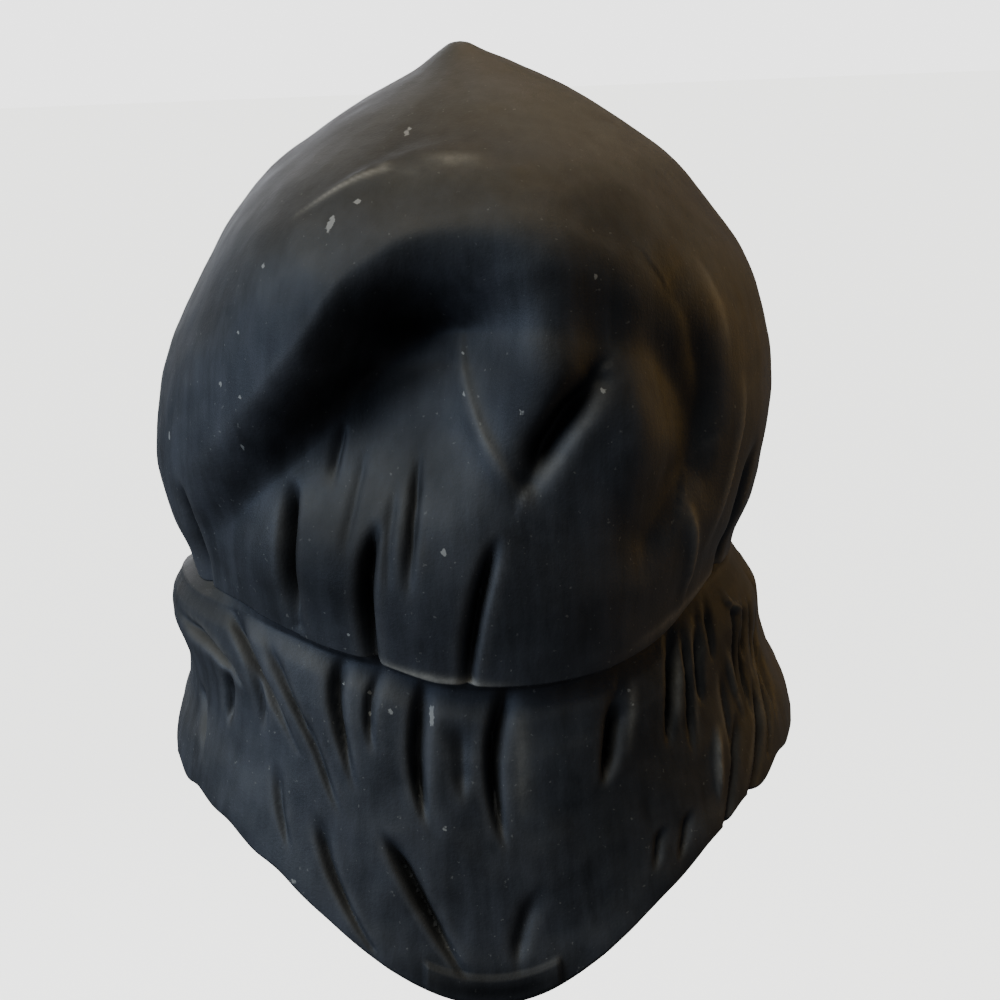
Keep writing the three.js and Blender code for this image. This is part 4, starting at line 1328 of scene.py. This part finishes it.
@dataclass(frozen=True)
class PaintedBoneLatex:
    """The same latex with a sprayed bone coat and a thin dark wash wiped back off the high places.

    The spray dries to an even matte with soft blotches, and the wash stays in the holes, the cheeks and
    between the teeth.
    """

    roughness: float = 0.62
    ior: float = 1.5
    sheen: float = 0.35
    relief_mm: float = 0.5
    blotch_wash: float = 0.5
    ground: str = "b9ae93"
    patterns: tuple[tuple[str, Pattern], ...] = (
        ("blotch", Pattern(22.0, 6.0, 0.65)),
        ("grain", Pattern(1.6, 4.0, 0.6)),
    )
    readings: tuple[Reading, ...] = (
        Reading("pale", "blotch", 0.3, 0.7),
        Reading("wash", "uneven", 0.3, 0.95, 0.04, 0.96),
    )
    coats: tuple[tuple[str, str], ...] = (("pale", "cfc6ae"), ("wash", "2b231b"))

    def build(self) -> bpy.types.Material:
        """Builds the material.

        Returns:
            The painted latex.
        """
        finish = FinishTree("painted_bone_latex", dict(self.patterns), ("depth",))
        known = finish.known
        uneven = {0: known["blotch"], 1: self.blotch_wash, 2: known["depth"]}
        known["uneven"] = add_node(finish.tree, MATH, 0, TIMES_PLUS, uneven)
        finish.read(self.readings)
        return finish.close(known["grain"], self.relief_mm, {
            "Base Color": finish.coat(self.ground, self.coats), "Roughness": self.roughness,
            "IOR": self.ior, "Specular IOR Level": self.sheen,
        })


# Sub-assemblies


@dataclass
class Hood:
    """The hood from its peak to its hem, with the collar lapped under it and the rim round the face."""

    form: HoodForm
    collar: CollarForm
    opening: Opening
    wall: LatexSkin = field(default_factory=LatexSkin)
    hood_rings: int = 184
    dome_rings: int = 36
    dome_sections: float = 6.0
    collar_rings: int = 110
    lap_rings: int = 9
    lap: float = 14 * MM
    last_section_drop: float = 0.08
    step: float = 8 * MM
    bead_radius: float = 3.8 * MM
    bead_overlap: float = 0.4 * MM
    bead_sink: float = 0.3
    bead_root: float = 2.2
    bead_degrees: tuple[int, int, int] = (180, -61, -24)
    sleeve_shares: tuple[float, ...] = (0.35, 0.7)
    rim_columns: int = 168
    rim_bend: float = 0.1
    clear_front: float = 0.4

    def hood_skin(self) -> bpy.types.Object:
        """Builds the hood's wall, before the face opening is cut out of it.

        Returns:
            The hood's skin.
        """
        last = len(HOOD_SECTIONS) - 1
        dome = np.linspace(0.0, self.dome_sections, self.dome_rings)[:-1]
        below = np.linspace(self.dome_sections, last, self.hood_rings - len(dome))
        places = np.concatenate([dome, below])
        return self.wall.wall_mesh("hood_skin", self.form.skin, self.form.wear_and_painted_shade, places, False)

    def collar_surface(self, turn: np.ndarray, down: np.ndarray, inset: float) -> np.ndarray:
        """Collar skin from its lap inside the hood's wall (negative places) to its lower edge.

        Args:
            turn: Degrees from the middle of the back.
            down: Share of the way down, or minus the share of the way up the lap.
            inset: How far inward it is moved.

        Returns:
            Points, with x, y and z last.
        """
        lap_sections = self.lap / (self.form.hem_drop * self.last_section_drop)
        up = np.clip(-down, 0.0, 1.0)
        station = len(HOOD_SECTIONS) - 1 - lap_sections * up
        step = self.step * self.form.hem_row(turn)[..., 2]
        sunk = self.wall.wall / 2 + (step - self.wall.wall / 2) * (1 - up ** 2)
        lapped = self.form.skin(turn, station, sunk + inset)
        first = COLLAR_SECTIONS[0].level
        free = self.collar.skin(turn, np.maximum(down, first), inset)
        blend = smooth(down / first)[..., None]
        return np.where((down >= first)[..., None], free, lapped * (1 - blend) + free * blend)

    def collar_skin(self) -> bpy.types.Object:
        """Builds the collar's wall, which starts inside the hood's hem.

        Returns:
            The collar's skin.
        """
        lap = np.linspace(-1.0, 0.0, self.lap_rings)[:-1]
        places = np.concatenate([lap, np.linspace(0.0, 1.0, self.collar_rings - len(lap))])
        return self.wall.wall_mesh("collar_skin", self.collar_surface, self.collar.wear_and_painted_shade, places, True)

    def opening_plug(self, margin: float) -> bpy.types.Object:
        """Builds the closed tool that cuts the face opening.

        Args:
            margin: How far outside the opening's outline it cuts.

        Returns:
            The tool.
        """
        opening = self.opening
        angles = -2 * math.pi * np.arange(self.rim_columns) / self.rim_columns
        rings = []
        for y, flare in (
            (opening.seat_forward - opening.rim_depth / 4, 0.0),
            (opening.flare_start, 0.0),
            (opening.flare_start + opening.rim_depth, opening.flare),
        ):
            x, z = opening.outline(angles, margin + flare)
            rings.append(np.stack([x, np.full_like(x, y), z], -1))
        return closed_tube("opening_plug", rings)

    def rim(self, hood: bpy.types.Object) -> bpy.types.Object:
        """Builds the sleeve from the hood's front back to the face's seat, with a rolled bead in front.

        Args:
            hood: The hood's skin, not yet cut.

        Returns:
            The rim.
        """
        opening, wall, radius = self.opening, self.wall.wall, self.bead_radius
        tree = BVHTree.FromObject(hood, bpy.context.evaluated_depsgraph_get())
        angles = 2 * math.pi * np.arange(self.rim_columns) / self.rim_columns
        fronts = []
        for x, z in zip(*opening.outline(angles, opening.flare + radius)):
            hit = tree.ray_cast(Vector((x, self.clear_front, z)), Vector((0, -1, 0)))[0]
            fronts.append(hit.y if hit else self.form.front)
        front = np.array(fronts)
        start, same = opening.flare_start, np.ones_like(front)
        flare = np.clip((front - start) / opening.rim_depth, 0, 1) * opening.flare
        rings = [(wall * same, opening.seat_forward * same), (0 * same, opening.seat_forward * same)]
        rings.append((0 * same, start * same))
        for share in self.sleeve_shares:
            rings.append((flare * share, start + (front - radius - start) * share))
        for degrees in range(*self.bead_degrees):
            margin = flare + radius * (1 + math.cos(degrees * DEGREE)) - self.bead_overlap
            rings.append((margin, front + radius * (math.sin(degrees * DEGREE) - self.bead_sink)))
        rings.append((flare + wall, front - self.bead_root * radius))
        rings.append((wall * same, start * same))
        points = []
        for margin, y in rings:
            x, z = opening.outline(angles, margin)
            points.append(np.stack([x, y, z], -1))
        count = self.rim_columns
        faces = grid_faces(len(points), count, 0, True)
        last = (len(points) - 1) * count
        faces += [(last + k, k, (k + 1) % count, last + (k + 1) % count) for k in range(count)]
        piece = new_mesh("face_rim", np.concatenate(points), faces)
        merge(piece, WELD)
        put_attribute(piece, "bend", np.full(len(piece.data.vertices), self.rim_bend))
        return piece

    def build(self, finish: bpy.types.Material) -> list[bpy.types.Object]:
        """Builds and dresses the hood's pieces.

        Args:
            finish: The black latex.

        Returns:
            The pieces.
        """
        hood = self.hood_skin()
        pieces = [hood, self.collar_skin(), self.rim(hood)]
        cut(hood, self.opening_plug(self.bead_radius))
        for piece in pieces:
            dress(piece, finish, "hood_shell", Slot.BLACK_LATEX)
        return pieces


@dataclass(frozen=True)
class ToothRow:
    """Row of teeth: its middle, a share of the opening's half height, and a tooth's half height and width."""

    up: float
    tall: float
    wide: float


TOOTH_ROWS = (
    ToothRow(-0.47, 7.6 * MM, 7.4 * MM),
    ToothRow(-0.625, 6.6 * MM, 6.6 * MM),
)


@dataclass
class SkullFace:
    """The painted skull face seated in the hood's opening."""

    opening: Opening
    wall: float = 1.8 * MM
    dome: float = 30 * MM
    dome_power: float = 2.6
    skirt: float = 0.02
    form_fade: float = 3.0
    columns: int = 176
    rings: int = 96
    ring_power: float = 0.9
    eye_spacing: float = 60 * MM
    eye_size: tuple[float, float] = (37 * MM, 30 * MM)
    eye_up: float = 0.20
    nose_size: tuple[float, float] = (25 * MM, 30 * MM)
    nose_up: float = -0.21
    nose_pear: float = 0.75
    hole_points: int = 48
    tooth_rise: float = 2.4 * MM
    teeth_a_side: int = 5
    tooth_shrink: float = 0.03
    tooth_curve: float = 0.004
    tooth_fill: float = 0.47
    hollow_wash: float = 1.5
    tooth_wash: float = 0.5
    mouth_wash: float = 0.45
    mouth_up: float = -0.55
    mouth_tall: float = 0.14
    mouth_half_width: float = 46 * MM
    mouth_fade: float = 16 * MM
    edge_wash: float = 0.6
    edge_width: float = 0.14
    weld: float = 0.02 * MM

    @property
    def half(self) -> tuple[float, float]:
        """Half width and half height of the opening."""
        return self.opening.width / 2, self.opening.height / 2

    def relief(self, x: np.ndarray, up: np.ndarray) -> np.ndarray:
        """Height of the skull's forms.

        Args:
            x: Places across, from the opening's middle.
            up: Places up, from the opening's middle.

        Returns:
            Height as a share of the dome.
        """
        across, above = x / self.half[0], up / self.half[1]
        rise = np.zeros_like(across)
        for form in SKULL_FORMS:
            for centre in {form.across, -form.across}:
                distance = np.hypot((across - centre) / form.wide, (above - form.up) / form.tall)
                rise += form.rise * np.exp(-(distance ** form.edge))
        return rise

    def teeth(self, x: np.ndarray, up: np.ndarray) -> np.ndarray:
        """Height of the two rows of teeth.

        Args:
            x: Places across, from the opening's middle.
            up: Places up, from the opening's middle.

        Returns:
            Height in metres.
        """
        rise = np.zeros_like(x)
        for row in TOOTH_ROWS:
            for number in range(self.teeth_a_side):
                centre = (number + 0.5) * row.wide * (1 - self.tooth_shrink * number)
                middle = (row.up + self.tooth_curve * number ** 2) * self.half[1]
                for side in (-1, 1):
                    dx = np.abs(x - side * centre) / (row.wide * self.tooth_fill)
                    dz = np.abs(up - middle) / row.tall
                    rise = np.maximum(rise, self.tooth_rise * np.exp(-(dx ** 4 + dz ** 4)))
        return rise

    def surface(self, x: np.ndarray, up: np.ndarray) -> np.ndarray:
        """Front of the face, without its teeth.

        Args:
            x: Places across, from the opening's middle.
            up: Places up, from the opening's middle.

        Returns:
            Its y.
        """
        share = np.hypot(x / self.half[0], up / self.half[1])
        dome = np.maximum(self.skirt, 1 - share ** self.dome_power)
        rise = dome + self.relief(x, up) * smooth(dome * self.form_fade)
        return self.opening.seat_forward + self.wall + self.opening.seat_gap + self.dome * rise

    def washed(self, x: np.ndarray, up: np.ndarray, share: np.ndarray) -> np.ndarray:
        """How much dark wash stays on the face.

        Args:
            x: Places across, from the opening's middle.
            up: Places up, from the opening's middle.
            share: Share of the way from the middle to the edge.

        Returns:
            Strength, mostly from 0 to 1.
        """
        depth = -self.hollow_wash * self.relief(x, up) - self.tooth_wash * self.teeth(x, up) / self.tooth_rise
        mouth = np.exp(-((up / self.half[1] - self.mouth_up) / self.mouth_tall) ** 2)
        depth += self.mouth_wash * mouth * smooth((self.mouth_half_width - np.abs(x)) / self.mouth_fade)
        return depth + self.edge_wash * smooth((share - 1 + self.edge_width) / self.edge_width)

    def hole(self, size: tuple[float, float], x: float, up: float, pear: float) -> bpy.types.Object:
        """Builds a rounded tool that cuts a hole right through the face, with dark edges.

        Args:
            size: The hole's width and height.
            x: Its middle across the face.
            up: Its middle, as a share of the opening's half height.
            pear: How much narrower it is at its top, from 0 to 1.

        Returns:
            The tool.
        """
        angle = 2 * math.pi * np.arange(self.hole_points) / self.hole_points
        across = x + size[0] / 2 * np.sin(angle) * (1 - pear * (1 + np.cos(angle)) / 2)
        z = size[1] / 2 * np.cos(angle) + up * self.half[1] - self.opening.drop
        ends = (self.opening.seat_forward + 3 * self.dome, self.opening.seat_forward - self.dome)
        tool = closed_tube("hole", [np.stack([across, np.full_like(across, y), z], -1) for y in ends])
        put_attribute(tool, "depth", np.ones(len(tool.data.vertices)))
        return tool

    def build(self, finish: bpy.types.Material) -> bpy.types.Object:
        """Builds and dresses the face.

        Args:
            finish: The painted latex.

        Returns:
            The piece.
        """
        angles = 2 * math.pi * np.arange(self.columns) / self.columns
        angle, share = np.meshgrid(angles, np.linspace(0.0, 1.0, self.rings) ** self.ring_power)
        edge_x, edge_z = self.opening.outline(angle, -self.opening.seat_gap)
        x, up = edge_x * share, (edge_z + self.opening.drop) * share
        middle = self.surface(x, up)
        z = up - self.opening.drop
        front = np.stack([x, middle + self.teeth(x, up), z], -1)
        inner_rows = sorted({*range(0, self.rings, 2), self.rings - 1})
        back = np.stack([x, middle - self.wall, z], -1)[inner_rows][:, ::2]
        count, half_count = self.columns, self.columns // 2
        first_inner = self.rings * count
        last_inner = first_inner + (len(inner_rows) - 1) * half_count
        faces = grid_faces(self.rings, count, 0, False)
        faces += grid_faces(len(inner_rows), half_count, first_inner, True)
        edge = range((self.rings - 1) * count, first_inner)
        faces += bridge_faces(edge, range(last_inner, last_inner + half_count), True)
        points = np.concatenate([front.reshape(-1, 3), back.reshape(-1, 3)])
        piece = new_mesh("skull_face_skin", points, faces)
        inside = np.full(len(inner_rows) * half_count, self.edge_wash)
        put_attribute(piece, "depth", np.concatenate([self.washed(x, up, share).ravel(), inside]))
        merge(piece, self.weld)
        for side in (-1, 1):
            cut(piece, self.hole(self.eye_size, side * self.eye_spacing / 2, self.eye_up, 0.0))
        cut(piece, self.hole(self.nose_size, 0.0, self.nose_up, self.nose_pear))
        dress(piece, finish, "skull_face", Slot.BONE_LATEX)
        return piece


class LampKind(Enum):
    """Kinds of light."""

    SUN = "SUN"
    SOFTBOX = "AREA"


@dataclass(frozen=True)
class Lamp:
    """Light aimed at the mask; its size is the side of a square in metres, or a sun's angle."""

    kind: LampKind
    place: tuple[float, float, float]
    size: float
    power: float
    colour: str


LAMPS = {
    "high_left": Lamp(LampKind.SUN, (-0.8832, -0.6731, 1.5081), 38 * DEGREE, 3.2, "f1f5ec"),
    "cool_window": Lamp(LampKind.SOFTBOX, (-1.8, -0.9, 0.5), 1.1, 50.0, "b8d2f8"),
    "warm_lamp": Lamp(LampKind.SOFTBOX, (0.3, 0.15, 1.05), 0.6, 8.0, "ffdca4"),
    "warm_side": Lamp(LampKind.SOFTBOX, (1.5, 0.35, 0.15), 0.6, 7.0, "ffc862"),
    "front_window": Lamp(LampKind.SOFTBOX, (-0.6, 1.9, 0.5), 1.2, 20.0, "f3f5ff"),
}


@dataclass
class Studio:
    """Pale floor, soft lights and the camera behind the mask and a little above it."""

    target: Vector = field(default_factory=lambda: Vector((0.010, 0.0, -0.150)))
    distance: float = 0.800
    elevation: float = 14.0
    roll: float = 2.2
    lens: float = 62.2
    sensor: float = 36.0
    floor_drop: float = 1.3
    floor_size: float = 240.0
    floor_colour: str = "f6f5f3"
    floor_roughness: float = 0.9
    floor_glow: float = 2.0
    backdrop: tuple[str, float] = ("ffffff", 2.9)
    sky: tuple[str, float] = ("dfe6f2", 0.22)

    def aim(self, name: str, data: Any, place: Vector, roll: float = 0.0) -> bpy.types.Object:
        """Stands a camera or a light at a place and aims it at the mask.

        Args:
            name: The object's name.
            data: The camera or the light.
            place: Where it stands.
            roll: Degrees that it is turned about its own line of sight.

        Returns:
            The object.
        """
        thing = bpy.data.objects.new(name, data)
        bpy.context.scene.collection.objects.link(thing)
        look = (self.target - place).to_track_quat("-Z", "Y").to_matrix().to_4x4()
        thing.matrix_world = Matrix.Translation(place) @ look @ Matrix.Rotation(roll * DEGREE, 4, "Z")
        return thing

    def camera(self) -> None:
        """Places the camera at the photograph's angle."""
        data = bpy.data.cameras.new("camera")
        data.lens = self.lens
        data.sensor_width = self.sensor
        data.clip_start = 0.01
        elevation = self.elevation * DEGREE
        back = Vector((0.0, -math.cos(elevation), math.sin(elevation)))
        bpy.context.scene.camera = self.aim("camera", data, self.target + back * self.distance, -self.roll)

    def lights(self) -> None:
        """Adds a broad light from high on the left and soft windows and lamps round the mask."""
        for name, lamp in LAMPS.items():
            data = bpy.data.lights.new(name, lamp.kind.value)
            if lamp.kind is LampKind.SUN:
                data.angle = lamp.size
            else:
                data.shape = "SQUARE"
                data.size = lamp.size
            data.energy = lamp.power
            data.color = linear(lamp.colour)[:3]
            self.aim(name, data, Vector(lamp.place))

    def floor(self) -> None:
        """Lays the pale floor well below the mask."""
        half = self.floor_size / 2
        corners = np.array([(-half, -half), (half, -half), (half, half), (-half, half)])
        points = np.column_stack([corners, np.full(len(corners), -self.floor_drop)])
        floor = new_mesh("studio_floor", points, [range(len(corners))])
        material, tree = blank_material("studio_floor")
        colour = linear(self.floor_colour)
        shader = add_node(tree, "ShaderNodeBsdfPrincipled", "BSDF", inputs={
            "Base Color": colour, "Roughness": self.floor_roughness,
            "Emission Color": colour, "Emission Strength": self.floor_glow,
        })
        add_node(tree, "ShaderNodeOutputMaterial", inputs={"Surface": shader})
        floor.data.materials.append(material)
        floor.visible_diffuse = False
        floor.visible_glossy = False

    def world(self) -> None:
        """Makes a white backdrop and, for all else, a dim pale sky."""
        world = bpy.data.worlds.new("studio")
        world.use_nodes = True
        tree = world.node_tree
        tree.nodes.clear()
        seen, dim = (
            add_node(tree, "ShaderNodeBackground", 0, inputs={"Color": linear(colour), "Strength": strength})
            for colour, strength in (self.backdrop, self.sky)
        )
        straight = add_node(tree, "ShaderNodeLightPath", "Is Camera Ray")
        mixed = add_node(tree, "ShaderNodeMixShader", 0, inputs={0: straight, 1: dim, 2: seen})
        add_node(tree, "ShaderNodeOutputWorld", inputs={"Surface": mixed})
        bpy.context.scene.world = world

    def build(self) -> None:
        """Builds the floor, the lights, the sky and the camera."""
        self.floor()
        self.lights()
        self.world()
        self.camera()


def main() -> None:
    """Builds the mask round the frame."""
    logging.basicConfig(level=logging.INFO, format="%(name)s: %(message)s")
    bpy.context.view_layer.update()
    Studio().build()
    log.info("studio ready")
    opening = Opening()
    form = HoodForm()
    hood = Hood(form, CollarForm(form), opening)
    for piece in hood.build(SlushCastBlackLatex().build()):
        log.info("%s: %d faces", piece.name, len(piece.data.polygons))
    face = SkullFace(opening).build(PaintedBoneLatex().build())
    log.info("%s: %d faces", face.name, len(face.data.polygons))


if __name__ == "__main__":
    main()
